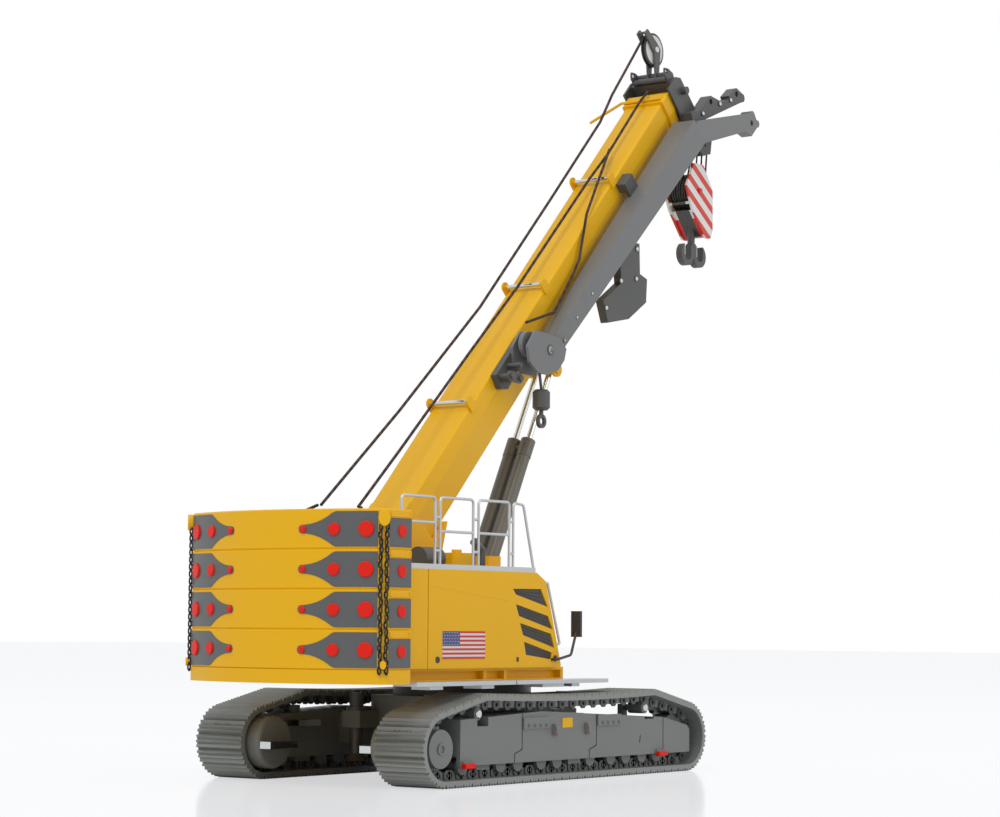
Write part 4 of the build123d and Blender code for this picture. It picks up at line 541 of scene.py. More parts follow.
# %% Grey patches of the slabs
SLAB_BOTTOM = 32.6
SLAB_HEIGHT = 11.0
SLAB_COUNT = 4
SLAB_ZS = [SLAB_BOTTOM + SLAB_HEIGHT * index for index in range(SLAB_COUNT)]
SLAB_MIDDLE = 5.4
REAR_CENTER_Y = -15.0
REAR_RADIUS = 76.7
PATCH_EDGE_X = 34.3
PATCH_FULL_X = 22.6
PATCH_NUB_X = 11.9
PATCH_START_X = PATCH_NUB_X + 0.02
PATCH_HALF_HEIGHT = 4.85
NUB_HALF_HEIGHT = 1.15
NUB_SHARE = 0.09
HOLLOW_RISE, HOLLOW_POWER = 3.7, 2.4
GRID_CROWDING = 1.4
SIDE_PATCH = ((-81.4, 0.5), (-71.7, 0.5), (-71.7, 8.5), (-81.4, 8.5))
SIDE_PATCH_X = 36.4
patch_grey = painted("patch_grey", srgb(84, 86, 88), dust=0.05, roughness=0.34)


def rear_y(x, proud):
    """Y of the round rear at a distance from the middle, standing proud by a little."""
    return REAR_CENTER_Y - math.sqrt((REAR_RADIUS + proud) ** 2 - x * x)


def patch_half_height(x):
    """Half height of a rear patch: full at the corner, hollow towards the nub."""
    if x >= PATCH_FULL_X:
        return PATCH_HALF_HEIGHT
    share = (x - PATCH_NUB_X) / (PATCH_FULL_X - PATCH_NUB_X)
    nub = NUB_HALF_HEIGHT * math.sqrt(max(0.0, 1 - max(0.0, 1 - share / NUB_SHARE) ** 2))
    return nub + HOLLOW_RISE * share**HOLLOW_POWER


def rear_patch(side, middle_z):
    """One rear patch, as a bent sheet."""
    part = bmesh.new()
    bmesh.ops.create_grid(part, x_segments=28, y_segments=2, size=1.0)
    for vert in part.verts:
        share = (vert.co.x + 1) / 2
        x = PATCH_START_X + share**GRID_CROWDING * (PATCH_EDGE_X - PATCH_NUB_X)
        z = middle_z + vert.co.y * patch_half_height(x)
        vert.co = (side * x, rear_y(x, 0.12), z)
    bmesh.ops.recalc_face_normals(part, faces=part.faces)
    bmesh.ops.solidify(part, geom=part.faces[:], thickness=0.1)
    bmesh.ops.recalc_face_normals(part, faces=part.faces)
    return part


patches = bmesh.new()
for slab_z in SLAB_ZS:
    for side in (-1, 1):
        add_part(patches, rear_patch(side, slab_z + SLAB_MIDDLE), Matrix())
        side_patch = cut_plate(SIDE_PATCH, thickness=0.15)
        add_part(patches, side_patch, on_side(SIDE_PATCH_X, slab_z, side))
bmesh.ops.recalc_face_normals(patches, faces=patches.faces)
finish_piece("ballast_patches", patches, [patch_grey], "superstructure")

# %% [markdown]
# Round red plugs sit in the patches, three sizes on each side of the rear and one on each end.
# They could be bumps in a texture, but they catch the light on their rims, so they are low
# discs with a rounded rim, turned to stand square on the curved face.

# %% Red plugs
PLUGS = ((13.4, 0.95), (22.6, 1.75), (31.3, 2.2))
END_PLUG_RADIUS = 1.75
END_PLUG_X, END_PLUG_Y, END_PLUG_DROP = 36.5, -76.0, 0.4
plugs = bmesh.new()
for slab_z in SLAB_ZS:
    middle_z = slab_z + SLAB_MIDDLE
    for side in (-1, 1):
        for x, radius in PLUGS:
            spot = Vector((side * x, rear_y(x, 0.1), middle_z))
            away = Vector((spot.x, spot.y - REAR_CENTER_Y, 0))
            plug = soft_disc(radius, height=0.55, sides=24, edge=0.22)
            add_part(plugs, plug, facing(spot, away))
        end = (side * END_PLUG_X, END_PLUG_Y, middle_z - END_PLUG_DROP)
        plug = soft_disc(END_PLUG_RADIUS, height=0.45, sides=24, edge=0.2)
        add_part(plugs, plug, facing(end, (side, 0, 0)))
finish_piece("ballast_plugs", plugs, [red_paint], "superstructure")

# %% [markdown]
# A U-shaped lip stands at the top of each slab's end, where the real casting has its lifting
# pocket. It could be one outline swept along a path, but three small rounded bars give the
# same look with fewer faces.

# %% Pocket lips
LIP_X, LIP_Y, LIP_RISE = 36.5, -76.4, 9.0
LIP_BAR = (0.5, 9.0, 0.4)
LIP_HORN = (0.5, 0.5, 1.5)
LIP_HORN_YS = (-80.7, -72.1)
LIP_HORN_RISE = 0.6
lips = bmesh.new()
for slab_z in SLAB_ZS:
    lip_z = slab_z + LIP_RISE
    for side in (-1, 1):
        x = side * LIP_X
        add_part(lips, soft_block(LIP_BAR), Matrix.Translation((x, LIP_Y, lip_z)))
        for y in LIP_HORN_YS:
            horn_at = Matrix.Translation((x, y, lip_z + LIP_HORN_RISE))
            add_part(lips, soft_block(LIP_HORN), horn_at)
finish_piece("pocket_lips", lips, [yellow_paint], "superstructure")

# %% [markdown]
# Two strands of black chain hang at each cut corner. A chain could be a textured bar, but its
# links show against the light. So each link is a small circle spun to a ring and stretched,
# with few faces because there are many, and every second link is turned a quarter.

# %% Corner chains
LINK_PITCH = 2.05
LINK_WIRE = 0.24
LINK_RADIUS = 0.55
LINK_STRETCH = 1.75
CHAIN_LOW_Z = 31.5
CHAIN_HIGH_Z = 74.0
CORNER_X, CORNER_Y = 35.4, -82.55
CORNER_TURN = 0.78
STRAND_OUT = 0.5
STRAND_HALF_GAP = 0.85
SWAY, SWAY_STEP = 0.16, 1.7
QUARTER_TURN = Matrix.Rotation(math.pi / 2, 3, "X")


def chain_link():
    """Oval link standing up along Z, its ring open towards Y."""
    part = bmesh.new()
    wire = bmesh.ops.create_circle(part, segments=5, radius=LINK_WIRE)["verts"]
    bmesh.ops.translate(part, vec=(LINK_RADIUS, 0, 0), verts=wire)
    bmesh.ops.rotate(part, cent=(0, 0, 0), matrix=QUARTER_TURN, verts=wire)
    spin_round(part, part.verts[:] + part.edges[:], 10)
    bmesh.ops.scale(part, vec=(1.0, LINK_STRETCH, 1.0), verts=part.verts)
    bmesh.ops.rotate(part, cent=(0, 0, 0), matrix=QUARTER_TURN, verts=part.verts)
    bmesh.ops.recalc_face_normals(part, faces=part.faces)
    return part


chains = bmesh.new()
link_count = int((CHAIN_HIGH_Z - CHAIN_LOW_Z) / LINK_PITCH)
for side in (-1, 1):
    corner = Vector((side * CORNER_X, CORNER_Y, 0))
    out = Vector((side, -1, 0)).normalized()
    across = Vector((1, side, 0)).normalized()
    for strand in (-STRAND_HALF_GAP, STRAND_HALF_GAP):
        for index in range(link_count):
            sway = SWAY * math.sin(SWAY_STEP * index + strand)
            spot = corner + out * STRAND_OUT + across * (strand + sway)
            spot.z = CHAIN_LOW_Z + LINK_PITCH * (index + 0.5)
            quarter = math.radians(38 if index % 2 else -42) + side * CORNER_TURN
            turned = facing(spot, (0, 0, 1)) @ Matrix.Rotation(quarter, 4, "Z")
            add_part(chains, chain_link(), turned)
chain_piece = finish_piece(
    "corner_chains", chains, [black_steel], "superstructure"
)
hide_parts("ballast_chains")

# %% [markdown]
# The chains hang between a big yellow peg at the top of the corner and a small one at its
# foot. A peg is a disc squeezed to an oval, because the corner's flat is narrower than it.

# %% Chain pegs
PEGS = ((74.0, 2.3), (34.0, 1.2))
PEG_SQUEEZE = Matrix.Diagonal((0.72, 1.0, 1.0, 1.0))
pegs = bmesh.new()
for side in (-1, 1):
    out = Vector((side, -1, 0)).normalized()
    for peg_z, radius in PEGS:
        spot = Vector((side * CORNER_X, CORNER_Y, peg_z))
        peg = soft_disc(radius, height=1.55, sides=20, edge=0.2)
        add_part(pegs, peg, facing(spot, out) @ PEG_SQUEEZE)
finish_piece("chain_pegs", pegs, [yellow_paint], "superstructure")

# %% [markdown]
# The track runs round two end wheels, over two carrier rollers and sags between them. Small
# parts repeat along it at equal steps. They could be spread by a modifier on a curve, but the
# band's arcs are known, so their places are read off the same arcs that the solid follows.

# %% Path of the track band
TRACK_END_RADIUS = 10.8
END_WHEEL_Y = 62.2
HUMP_Y = 43.0
HUMP_Z = 20.0
HUMP_RADIUS = 5.9
TOP_SAG = 0.8
TOP_YS = range(40, -41, -4)


def arc_points(center, radius, start, end, steps=40):
    """Points round an arc in Y and Z."""
    turns = [start + (end - start) * step / steps for step in range(steps + 1)]
    return [(center[0] + radius * math.cos(a), center[1] + radius * math.sin(a)) for a in turns]


def band_path(inset):
    """Closed run of points along the track band, moved inwards by an inset."""
    end = TRACK_END_RADIUS - inset
    hump = HUMP_RADIUS - inset
    rise = Vector((END_WHEEL_Y - HUMP_Y, HUMP_Z - TRACK_END_RADIUS))
    lean = math.atan2(rise.y, rise.x) + math.acos((end - hump) / rise.length)
    front = arc_points((END_WHEEL_Y, TRACK_END_RADIUS), end, -math.pi / 2, math.pi - lean)
    front += arc_points((HUMP_Y, HUMP_Z), hump, math.pi - lean, math.pi / 2, 8)
    rear = [(-y, z) for y, z in reversed(front)]
    top = [(y, HUMP_Z + hump - TOP_SAG * (1 - (y / HUMP_Y) ** 2)) for y in TOP_YS]
    path = front + top + rear
    return [Vector(point) for point in path + path[:1]]


def band_spots(inset, count, phase):
    """Place and run direction at equal steps along the band, starting at its rear bottom."""
    path = band_path(inset)
    path = [path[-2], *path]
    lengths = [(b - a).length for a, b in zip(path, path[1:])]
    total = sum(lengths)
    spots, leg, passed = [], 0, 0.0
    for step in range(count):
        goal = total * (step + phase) / count
        while passed + lengths[leg] < goal:
            passed += lengths[leg]
            leg += 1
        run = (path[leg + 1] - path[leg]).normalized()
        spots.append((path[leg] + run * (goal - passed), run))
    return spots, total / count


print("band points", len(band_path(0.0)))

# %% [markdown]
# The track's chain is a row of side links with a round hole in each, seen between the shoes
# and the rollers. A hole could be cut, but at this size a raised ring round a black disc of
# painted shade, where the hole's depth would be dark, looks the same for a few dozen faces.
# One is set at each shoe, on both faces of both chains. The links' grey is darker than the
# track's, partly the chain's own dark metal and partly painted shade.

# %% Chain links
SHOE_COUNT = 77
CHAIN_X = 33.5
CHAIN_HALF = 3.4
RING_STRETCH = Matrix.Diagonal((0.92, 0.98, 1.0, 1.0))
link_spots, link_pitch = band_spots(inset=3.2, count=SHOE_COUNT, phase=0.5)
print("link pitch", round(link_pitch, 2), "mm")
links = bmesh.new()
for side in (-1, 1):
    for face_x, way in ((CHAIN_X + CHAIN_HALF, 1), (CHAIN_X - CHAIN_HALF, -1)):
        for spot, run in link_spots:
            place = leaning((side * face_x, spot.x, spot.y), math.atan2(run.y, run.x))
            place = place @ Matrix.Rotation(math.pi / 2, 4, "Y")
            if side * way < 0:
                place = place @ Matrix.Rotation(math.pi, 4, "Y")
            ring = spun_ring(outer=1.75, inner=0.62, height=0.4, sides=8)
            ring.transform(Matrix.Rotation(math.pi / 8, 4, "Z"))
            ring.transform(RING_STRETCH)
            add_part(links, ring, place)
            # black disc: painted shade where the link's hole is
            add_part(links, soft_disc(0.7, height=0.06, sides=8, edge=0), place, 1)
finish_piece(
    "chain_links", links, [chain_grey_and_shade, black_steel], "undercarriage"
)

# %% [markdown]
# Each shoe is held by four small bolts, seen as pairs of dark dots across the shoe's middle.
# There are hundreds, so each is a plain hexagon that stands a little proud of its shoe.

# %% Shoe bolts
SHOE_BOLT_XS = (CHAIN_X - 2.6, CHAIN_X - 1.3, CHAIN_X + 1.3, CHAIN_X + 2.6)
bolt_spots, _ = band_spots(inset=0.62, count=SHOE_COUNT, phase=0.36)
shoe_bolts = bmesh.new()
for side in (-1, 1):
    for spot, run in bolt_spots:
        for x in SHOE_BOLT_XS:
            place = facing((side * x, spot.x, spot.y), (0, run.y, -run.x))
            add_part(shoe_bolts, soft_disc(0.26, height=0.08, sides=6, edge=0), place)
finish_piece("shoe_bolts", shoe_bolts, [black_steel], "undercarriage")

# %% [markdown]
# The track frames carry small things on their outer sides: bolts on the hinge plates, red
# edges on the two half-round grips, red tow lugs, a bare yellow plate, a thin black sheet of
# painted shade for a slot, caps on the carrier rollers and bolts round the sprocket. One piece
# with a material for each colour keeps them together, and both sides come from the same two
# tables.

# %% Track frame details
GREY, RED, YELLOW, SLOT_SHADE, BRIGHT = range(5)
HINGE_BOLT_X, HINGE_BOLT_Z = 40.5, 16.2
HINGE_BOLT_YS = (-21.3, -18.4, -15.5, -12.6, 16.7, 19.6, 22.5, 25.4)
FRAME_BLOCKS = (
    ((0.6, 0.7, 3.3), 0.15, (40.75, -7.95, 14.6), 0.2, RED),
    ((0.6, 0.7, 3.3), 0.15, (40.75, 8.75, 14.6), 0.2, RED),
    ((1.75, 4.55, 1.45), 0.2, (40.85, -50.6, 5.8), 0.0, RED),
    ((1.75, 4.55, 1.45), 0.2, (40.85, 48.8, 5.8), 0.0, RED),
    ((0.2, 5.2, 2.9), 0.08, (40.08, -1.3, 16.6), 0.0, YELLOW),
    # thin black sheet: painted shade inside a slot of the frame
    ((0.12, 0.35, 2.4), 0.05, (40.05, 37.8, 10.6), -0.2, SLOT_SHADE),
)
ROLLER_CAP_X = 38.3
SPROCKET_COVER_X = 36.9
SPROCKET_BOLT_COUNT = 12
SPROCKET_BOLT_AT = Matrix.Translation((3.9, 0, -0.1))
frame_bits = bmesh.new()
for side in (-1, 1):
    way = (side, 0, 0)
    for y in HINGE_BOLT_YS:
        place = facing((side * HINGE_BOLT_X, y, HINGE_BOLT_Z), way)
        add_part(frame_bits, soft_disc(0.5, height=0.35, sides=6), place)
        add_part(frame_bits, soft_disc(0.25, height=0.6, sides=8), place)
    for size, edge, (x, y, z), lean, color in FRAME_BLOCKS:
        add_part(frame_bits, soft_block(size, edge), leaning((side * x, y, z), lean), color)
    for y in (-HUMP_Y, HUMP_Y):
        cap = soft_disc(1.25, height=0.5, sides=16, edge=0.2)
        add_part(frame_bits, cap, facing((side * ROLLER_CAP_X, y, HUMP_Z), way), BRIGHT)
    hub = facing((side * SPROCKET_COVER_X, -END_WHEEL_Y, TRACK_END_RADIUS), way)
    for index in range(SPROCKET_BOLT_COUNT):
        turned = Matrix.Rotation(math.tau * index / SPROCKET_BOLT_COUNT, 4, "Z")
        bolt = soft_disc(0.28, height=0.4, sides=6)
        add_part(frame_bits, bolt, hub @ turned @ SPROCKET_BOLT_AT, GREY)
finish_piece(
    "track_frame_bits",
    frame_bits,
    [frame_grey, red_paint, yellow_paint, black_steel, chrome],
    "undercarriage",
)

# %% [markdown]
# The slewing ring is bolted down all round. The bolts stand in a ring on the carbody, and the
# array is a turn of one bolt about the slew axis.

# %% Slewing ring bolts
RING_BOLT_COUNT = 36
RING_BOLT_AT = Matrix.Translation((18.8, 0, 24.0))
ring_bolts = bmesh.new()
for index in range(RING_BOLT_COUNT):
    turned = Matrix.Rotation(math.tau * index / RING_BOLT_COUNT, 4, "Z")
    add_part(ring_bolts, soft_disc(0.45, height=0.5, sides=6), turned @ RING_BOLT_AT)
finish_piece("ring_bolts", ring_bolts, [black_steel], "undercarriage")

# %% [markdown]
# The engine housing's side has four slanted louvres, air openings with slats pressed in their
# inserts. A striped texture would look flat from the side, so each opening gets a dark plate of
# its own outline, a little smaller, with three slats laid across it.

# %% Louvre inserts
LOUVRES = (
    ((-16.6, 55.8), (-2.4, 55.9), (1.2, 50.6), (-15.1, 54.1)),
    ((-15.1, 51.3), (1.3, 47.9), (3.9, 43.9), (-13.5, 47.8)),
    ((-13.0, 45.8), (2.9, 42.6), (4.7, 38.4), (-11.4, 42.2)),
    ((-10.9, 40.3), (3.4, 37.0), (3.0, 35.0), (-9.9, 36.4)),
)
HOUSING_X = 31.0
LOUVRE_DEPTH = 0.62
INSERT_SHARE = 0.99
SLAT_SHARES = (0.25, 0.5, 0.75)
SLAT_LENGTH_SHARE = 0.9
SLAT_RISE = 0.38
louvre_black = painted("louvre_black", srgb(48, 44, 40), dust=0.1, roughness=0.5)
in_louvre = on_side(HOUSING_X - LOUVRE_DEPTH)
louvres = bmesh.new()
for quad in LOUVRES:
    corners = [Vector(corner) for corner in quad]
    middle = sum(corners, Vector((0, 0))) / 4
    outline = [tuple(middle + (corner - middle) * INSERT_SHARE) for corner in corners]
    add_part(louvres, cut_plate(outline, thickness=0.3, edge=0.05), in_louvre)
    top_rear, top_front, low_front, low_rear = corners
    for share in SLAT_SHARES:
        start = top_rear.lerp(low_rear, share)
        end = top_front.lerp(low_front, share)
        run = end - start
        slat = soft_block((run.length * SLAT_LENGTH_SHARE, 0.28, 0.25), edge=0.06)
        turned = Matrix.Rotation(math.atan2(run.y, run.x), 4, "Z")
        spot = (start + end) / 2
        at = in_louvre @ Matrix.Translation((spot.x, spot.y, SLAT_RISE)) @ turned
        add_part(louvres, slat, at)
finish_piece("louvre_inserts", louvres, [louvre_black], "superstructure")

# %% [markdown]
# Low on the housing are two round black caps and a small black mark. Higher up, a pressed
# crease runs down towards the front. The caps are low discs, and the crease is one thin rib
# that lies along the line between its two ends.

# %% Housing marks and crease
CAP_SPOTS = ((-52.5, 35.2), (5.0, 35.3))
MARK_SPOT = (-14.1, 35.1)
CREASE_START, CREASE_END = Vector((-56.3, 56.2)), Vector((-18.5, 52.3))
marks = bmesh.new()
for y, z in CAP_SPOTS:
    cap = soft_disc(0.95, height=0.25, sides=16, edge=0.08)
    add_part(marks, cap, facing((HOUSING_X - 0.02, y, z), RIGHT))
mark = soft_block((0.2, 1.0, 1.3), edge=0.05)
add_part(marks, mark, Matrix.Translation((HOUSING_X + 0.05, *MARK_SPOT)))
finish_piece("housing_marks", marks, [black_plastic], "superstructure")
crease = bmesh.new()
run = CREASE_END - CREASE_START
spot = (CREASE_START + CREASE_END) / 2
rib = soft_block((0.14, run.length, 0.25), edge=0.06)
add_part(crease, rib, leaning((HOUSING_X, spot.x, spot.y), math.atan2(run.y, run.x)))
finish_piece("housing_crease", crease, [yellow_paint], "superstructure")

# %% [markdown]
# A striped flag patch sits low on the housing. Stripes could be colours in one material, but
# layers keep their edges sharp in every view: a white plate, seven red bars, a blue corner and
# rows of small white dots, each laid a little higher than the last.

# %% Flag patch
FLAG_REAR_Y, FLAG_FRONT_Y = -50.4, -30.2
FLAG_LOW_Z, FLAG_HIGH_Z = 35.4, 43.3
PLATE_X, BAR_X, CANTON_X, DOT_X = (HOUSING_X + rise for rise in (0.04, 0.09, 0.12, 0.14))
STRIPE_COUNT = 13
RED_COUNT = 7
DOT_ROWS, DOT_COLUMNS = 5, 6
WHITE, STRIPE_RED, CORNER_BLUE = range(3)
flag_blue = painted("flag_blue", srgb(70, 76, 130), dust=0.04, roughness=0.45)
flag_white = painted("flag_white", srgb(226, 220, 214), dust=0.04, roughness=0.45)
flag_red = painted("flag_red", srgb(206, 44, 44), dust=0.03, roughness=0.45)
flag = bmesh.new()
flag_length = FLAG_FRONT_Y - FLAG_REAR_Y
flag_height = FLAG_HIGH_Z - FLAG_LOW_Z
flag_mid = ((FLAG_REAR_Y + FLAG_FRONT_Y) / 2, (FLAG_LOW_Z + FLAG_HIGH_Z) / 2)
plate = soft_block((0.1, flag_length, flag_height), edge=0.03)
add_part(flag, plate, Matrix.Translation((PLATE_X, *flag_mid)), WHITE)
bar = flag_height / STRIPE_COUNT
for index in range(RED_COUNT):
    strip = soft_block((0.06, flag_length, bar), edge=0.015)
    z = FLAG_LOW_Z + bar * (2 * index + 0.5)
    add_part(flag, strip, Matrix.Translation((BAR_X, flag_mid[0], z)), STRIPE_RED)
canton_length, canton_height = 0.4 * flag_length, RED_COUNT * bar
canton = soft_block((0.06, canton_length, canton_height), edge=0.015)
spot = (CANTON_X, FLAG_REAR_Y + canton_length / 2, FLAG_HIGH_Z - canton_height / 2)
add_part(flag, canton, Matrix.Translation(spot), CORNER_BLUE)
for row in range(DOT_ROWS):
    for column in range(DOT_COLUMNS):
        y = FLAG_REAR_Y + canton_length * (column + 0.5 + 0.25 * (row % 2)) / 6.4
        z = FLAG_HIGH_Z - canton_height * (row + 0.5) / DOT_ROWS
        dot = soft_disc(0.17, height=0.04, sides=5, edge=0)
        add_part(flag, dot, facing((DOT_X, y, z), RIGHT), WHITE)
finish_piece(
    "flag_patch", flag, [flag_white, flag_red, flag_blue], "superstructure"
)

# %% [markdown]
# The photograph hides the cab's door side, so its small parts come from the type: a black
# rubber joint round the door, a handle, and two work lamps on the roof. The joint is four thin
# strips, and a lamp is a bright disc in a slightly wider black one.

# %% Cab trim
STRIP_WIDE = 0.3
STRIP_DEEP = 0.16
DOOR_YS = (-20.6, 1.6)
DOOR_ZS = (32.5, 64.5)
DOOR_MIDDLE_Y, DOOR_MIDDLE_Z = -9.5, 48.5
DOOR_LENGTH, DOOR_HEIGHT = 22.5, 32.0
HANDLE_SIZE = (0.7, 2.6, 0.5)
HANDLE_Y, HANDLE_Z = -1.0, 40.6
LAMP_BACK, LAMP_DROP = 4.6, 0.3
cab_low, cab_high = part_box("cab_shell")
cab_x, cab_top, cab_front = cab_low.x / MM, cab_high.z / MM, cab_high.y / MM
print("cab", [round(v / MM, 1) for v in (*cab_low, *cab_high)])
trim = bmesh.new()
for y in DOOR_YS:
    strip = soft_block((STRIP_DEEP, STRIP_WIDE, DOOR_HEIGHT), edge=0.05)
    add_part(trim, strip, Matrix.Translation((cab_x, y, DOOR_MIDDLE_Z)))
for z in DOOR_ZS:
    strip = soft_block((STRIP_DEEP, DOOR_LENGTH, STRIP_WIDE), edge=0.05)
    add_part(trim, strip, Matrix.Translation((cab_x, DOOR_MIDDLE_Y, z)))
handle_at = Matrix.Translation((cab_x - 0.25, HANDLE_Y, HANDLE_Z))
add_part(trim, soft_block(HANDLE_SIZE, edge=0.15), handle_at)
for x in (cab_x + 3.5, -18.0):
    lamp = facing((x, cab_front - LAMP_BACK, cab_top - LAMP_DROP), (0, 1, 0))
    add_part(trim, soft_disc(1.0, height=1.3, sides=16, edge=0.2), lamp)
    add_part(trim, soft_disc(0.8, height=1.4, sides=16, edge=0.15), lamp, 1)
finish_piece("cab_trim", trim, [black_plastic, chrome], "superstructure")

# %% [markdown]
# The guide rods that keep the ropes off the boom are bright metal between yellow ears. The rod
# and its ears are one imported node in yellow, so a sleeve a little wider than the rod shows
# the metal.

# %% Guide rod sleeves
GUIDE_US = (49.5, 105.3, 160.0)
SLEEVE_X, SLEEVE_N = -6.3, 24.6
sleeves = bmesh.new()
for u in GUIDE_US:
    sleeve = soft_disc(0.62, height=12.6, sides=14, edge=0.05)
    add_part(sleeves, sleeve, on_boom @ facing((SLEEVE_X, u, SLEEVE_N), RIGHT))
finish_piece("guide_sleeves", sleeves, [chrome], "boom")

# %% [markdown]
# Pins and washers give the stowed jib its mechanical look: a bright or brass head with a dark
# washer under each, along the jib's foot, its arm and the stow arm. A head is a low disc, and
# its distance out from the boom comes from the node that it belongs to.

# %% Jib pins
BRIGHT_HEAD, BRASS_HEAD, WASHER = range(3)
FOOT_PIN_SINK, ARM_PIN_SINK = 0.45, 0.2
ARM_PINS = ((100.0, 14.2), (112.0, 14.0))
STOW_PINS = ((133.5, 1.8), (143.0, 7.5), (148.5, 3.0), (120.5, 1.2), (141.0, -3.6))
brass = painted("brass", srgb(176, 150, 96), dust=0.04, roughness=0.3, metallic=1.0, bump=0.05)
jib_pins = bmesh.new()


def pin_head(x, u, n, radius, material=BRIGHT_HEAD):
    """Pin head over a dark washer, on the boom's right side."""
    place = on_boom @ facing((x, u, n), RIGHT)
    washer = spun_ring(outer=radius * 1.45, inner=radius * 0.6, height=0.2, sides=14)
    add_part(jib_pins, washer, place, WASHER)
    add_part(jib_pins, soft_disc(radius, height=0.45, sides=14, edge=0.15), place, material)


foot_x = right_side("jib_foot") - FOOT_PIN_SINK
pin_head(foot_x, 83.2, 15.3, 1.15)
pin_head(foot_x, 91.0, 12.5, 0.6, BRASS_HEAD)
for u, n in ARM_PINS:
    pin_head(right_side("jib_arm") - ARM_PIN_SINK, u, n, 0.4)
for u, n in STOW_PINS:
    pin_head(right_side("stow_arm"), u, n, 0.7)
finish_piece("jib_pins", jib_pins, [chrome, brass, dark_paint], "boom")

# %% [markdown]
# The runner bracket beside the head has bright pins too. The whip sheave's face is pale with a
# dark rim, held in its fork by a white pin: a wide flat ring on each face leaves the packed
# sheave's dark rim showing round it.

# %% Head details
RUNNER_PINS = ((214.6, 9.5), (226.2, 5.0), (233.0, 1.6))
RUNNER_X = 13.0
WHIP_U, WHIP_N = 222.0, 33.0
FORK_X, SHEAVE_FACE_X = 1.9, 0.78
head_pins = bmesh.new()
for u, n in RUNNER_PINS:
    pin = soft_disc(0.75, height=0.5, sides=14, edge=0.15)
    add_part(head_pins, pin, on_boom @ facing((RUNNER_X, u, n), RIGHT))
for side in (-1, 1):
    way = (side, 0, 0)
    pin = soft_disc(1.0, height=0.4, sides=14, edge=0.15)
    add_part(head_pins, pin, on_boom @ facing((side * FORK_X, WHIP_U, WHIP_N), way), 1)
    face = spun_ring(outer=5.1, inner=1.1, height=0.12, sides=40)
    add_part(head_pins, face, on_boom @ facing((side * SHEAVE_FACE_X, WHIP_U, WHIP_N), way), 1)
finish_piece(
    "head_pins", head_pins, [chrome, white_paint], "head_section"
)

# %% [markdown]
# The hook block is a dark body between two white cheeks with slanting red stripes. Both live
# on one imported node, which can't be cut here, so its finish picks the colour by place: X tells
# cheek from body, and a slanted line in Y and Z tells stripe from ground. The lengths are in
# metres, as Object coordinates are.

# %% Hook block finish
STRIPE_SLOPE = 0.67
STRIPE_PITCH = 0.0058
STRIPE_SHARE = 0.47
STRIPE_START = 0.27707 - STRIPE_PITCH * STRIPE_SHARE / 2
CHEEK_X = 0.00281
CHEEK_WHITE, CHEEK_RED, BODY_DARK = srgb(236, 236, 232), srgb(222, 50, 36), srgb(66, 66, 64)


def block_finish():
    """Dark body, white cheeks and red stripes, chosen by place."""
    material = painted("block_finish", srgb(232, 232, 228), dust=0.03, roughness=0.32)
    nodes, links = material.node_tree.nodes, material.node_tree.links
    paint = next(node for node in nodes if node.type == "GROUP")
    place = nodes.new("ShaderNodeTexCoord")
    parts = nodes.new("ShaderNodeSeparateXYZ")
    links.new(place.outputs["Object"], parts.inputs["Vector"])

    def result_of(operation, *values):
        node = nodes.new("ShaderNodeMath")
        node.operation = operation
        for socket, value in zip(node.inputs, values):
            if isinstance(value, (int, float)):
                socket.default_value = value
            else:
                links.new(value, socket)
        return node.outputs["Value"]

    def choice(by, if_not, if_so):
        node = nodes.new("ShaderNodeMix")
        node.data_type = "RGBA"
        links.new(by, node.inputs["Factor"])
        for label, color in (("A", if_not), ("B", if_so)):
            if isinstance(color, tuple):
                node.inputs[label].default_value = color
            else:
                links.new(color, node.inputs[label])
        return node.outputs["Result"]

    slanted = result_of("MULTIPLY_ADD", parts.outputs["Y"], STRIPE_SLOPE, parts.outputs["Z"])
    steps = result_of("DIVIDE", result_of("SUBTRACT", slanted, STRIPE_START), STRIPE_PITCH)
    stripe = result_of("LESS_THAN", result_of("FRACT", steps), STRIPE_SHARE)
    cheek = result_of("GREATER_THAN", result_of("ABSOLUTE", parts.outputs["X"]), CHEEK_X)
    striped = choice(stripe, CHEEK_WHITE, CHEEK_RED)
    links.new(choice(cheek, BODY_DARK, striped), paint.inputs["Color"])
    return material


block_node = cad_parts["hook_block"]
block_node.data.materials.clear()
block_node.data.materials.append(block_finish())
print("stripes every", round(STRIPE_PITCH / MM, 1), "mm")

# %% [markdown]
# Small screws hold the hook block's cheeks together. They are low discs with a softened rim,
# the same on both cheeks, and stand where the photograph shows them.

# %% Hook block screws
BLOCK_SCREWS = (
    (126.0, 201.0, 0.35),
    (128.9, 203.2, 0.35),
    (133.2, 200.6, 0.35),
    (136.4, 196.2, 0.35),
    (122.3, 194.8, 0.4),
    (128.0, 186.8, 0.4),
    (135.7, 188.1, 0.35),
    (132.6, 183.7, 0.75),
)
SCREW_X = 3.6
screws = bmesh.new()
for side in (-1, 1):
    for y, z, radius in BLOCK_SCREWS:
        screw = soft_disc(radius, height=0.22, sides=10, edge=0.06)
        add_part(screws, screw, facing((side * SCREW_X, y, z), (side, 0, 0)))
finish_piece("block_screws", screws, [dark_paint], "hook")

# %% [markdown]
# The crane stands on a glossy white table. A white floor under plain light renders grey, and
# more light would wash out the paint, so the floor glows a little for the camera alone. The
# rest of it is a smooth plain shader, which keeps the shadow and the reflection.

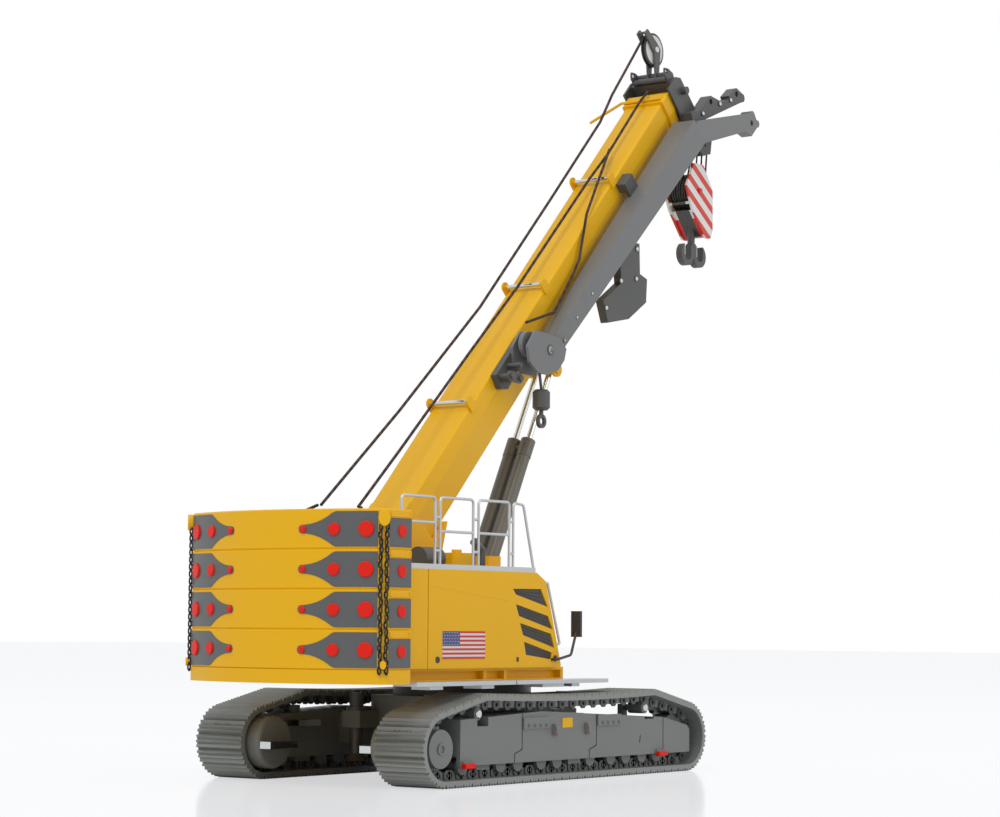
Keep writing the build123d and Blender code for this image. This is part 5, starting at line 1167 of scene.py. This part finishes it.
# %% Table
TABLE_HALF = 4.0
TABLE_GLOW = 0.62
table_mesh = bpy.data.meshes.new("table_top")
table_shape = bmesh.new()
bmesh.ops.create_grid(table_shape, x_segments=1, y_segments=1, size=TABLE_HALF)
table_shape.to_mesh(table_mesh)
table_shape.free()
table = bpy.data.objects.new("table_top", table_mesh)
bpy.context.scene.collection.objects.link(table)
table_white, table_nodes, table_links, table_shader = new_material("table_white")
set_inputs(table_shader, {"Base Color": srgb(243, 244, 246), "Roughness": 0.12})
shine = table_nodes.new("ShaderNodeEmission")
set_inputs(shine, {"Color": (0.97, 0.98, 1.0, 1.0)})
seen = table_nodes.new("ShaderNodeLightPath")
glow = table_nodes.new("ShaderNodeMath")
glow.operation = "MULTIPLY"
glow.inputs[1].default_value = TABLE_GLOW
blend_in = table_nodes.new("ShaderNodeMixShader")
table_links.new(seen.outputs["Is Camera Ray"], glow.inputs[0])
table_links.new(glow.outputs["Value"], blend_in.inputs["Fac"])
table_links.new(table_shader.outputs["BSDF"], blend_in.inputs[1])
table_links.new(shine.outputs["Emission"], blend_in.inputs[2])
table_links.new(blend_in.outputs["Shader"], table_nodes["Material Output"].inputs["Surface"])
table_mesh.materials.append(table_white)
print("table half width", TABLE_HALF, "m")

# %% [markdown]
# The surround lights the crane softly from all sides. What the camera, metal and glass see of
# it is pure white instead, told apart by the kind of ray, so the background can be white
# without lighting the paint any more.

# %% Surround
SURROUND_LIGHT = 0.62
world = bpy.data.worlds.new("surround")
bpy.context.scene.world = world
world.use_nodes = True
world_nodes, world_links = world.node_tree.nodes, world.node_tree.links
background = world_nodes["Background"]
set_inputs(background, {"Color": srgb(238, 240, 242), "Strength": SURROUND_LIGHT})
white_surround = world_nodes.new("ShaderNodeBackground")
set_inputs(white_surround, {"Strength": 1.0, "Color": (1.0, 1.0, 1.0, 1.0)})
rays = world_nodes.new("ShaderNodeLightPath")
either = world_nodes.new("ShaderNodeMath")
either.operation = "MAXIMUM"
any_of_three = world_nodes.new("ShaderNodeMath")
any_of_three.operation = "MAXIMUM"
world_links.new(rays.outputs["Is Camera Ray"], either.inputs[0])
world_links.new(rays.outputs["Is Glossy Ray"], either.inputs[1])
world_links.new(either.outputs["Value"], any_of_three.inputs[0])
world_links.new(rays.outputs["Is Transmission Ray"], any_of_three.inputs[1])
pick = world_nodes.new("ShaderNodeMixShader")
world_links.new(any_of_three.outputs["Value"], pick.inputs["Fac"])
world_links.new(background.outputs["Background"], pick.inputs[1])
world_links.new(white_surround.outputs["Background"], pick.inputs[2])
world_links.new(pick.outputs["Shader"], world_nodes["World Output"].inputs["Surface"])
print("surround strength", SURROUND_LIGHT)

# %% [markdown]
# A big soft lamp behind the crane and high over it gives the shadow its direction, and a weaker
# one on its right fills the dark side. Area lamps are used because a model this small under
# point lamps gets hard shadows that look like sunlight on a full-size machine.

# %% Lamps


def soft_lamp(name, at, aim, size, power):
    """Square lamp at a point, turned to another point."""
    data = bpy.data.lights.new(name, "AREA")
    data.size = size
    data.energy = power
    lamp = bpy.data.objects.new(name, data)
    way = Vector(aim) - Vector(at)
    lamp.rotation_euler = way.to_track_quat("-Z", "Y").to_euler()
    lamp.location = at
    bpy.context.scene.collection.objects.link(lamp)


soft_lamp("key_lamp", at=(0.2, -0.9, 1.3), aim=(0.0, 0.0, 0.12), size=0.7, power=9.0)
soft_lamp("fill_lamp", at=(1.2, 0.4, 0.7), aim=(0.0, 0.0, 0.1), size=0.9, power=3.0)
print("lamps", len(bpy.data.lights))
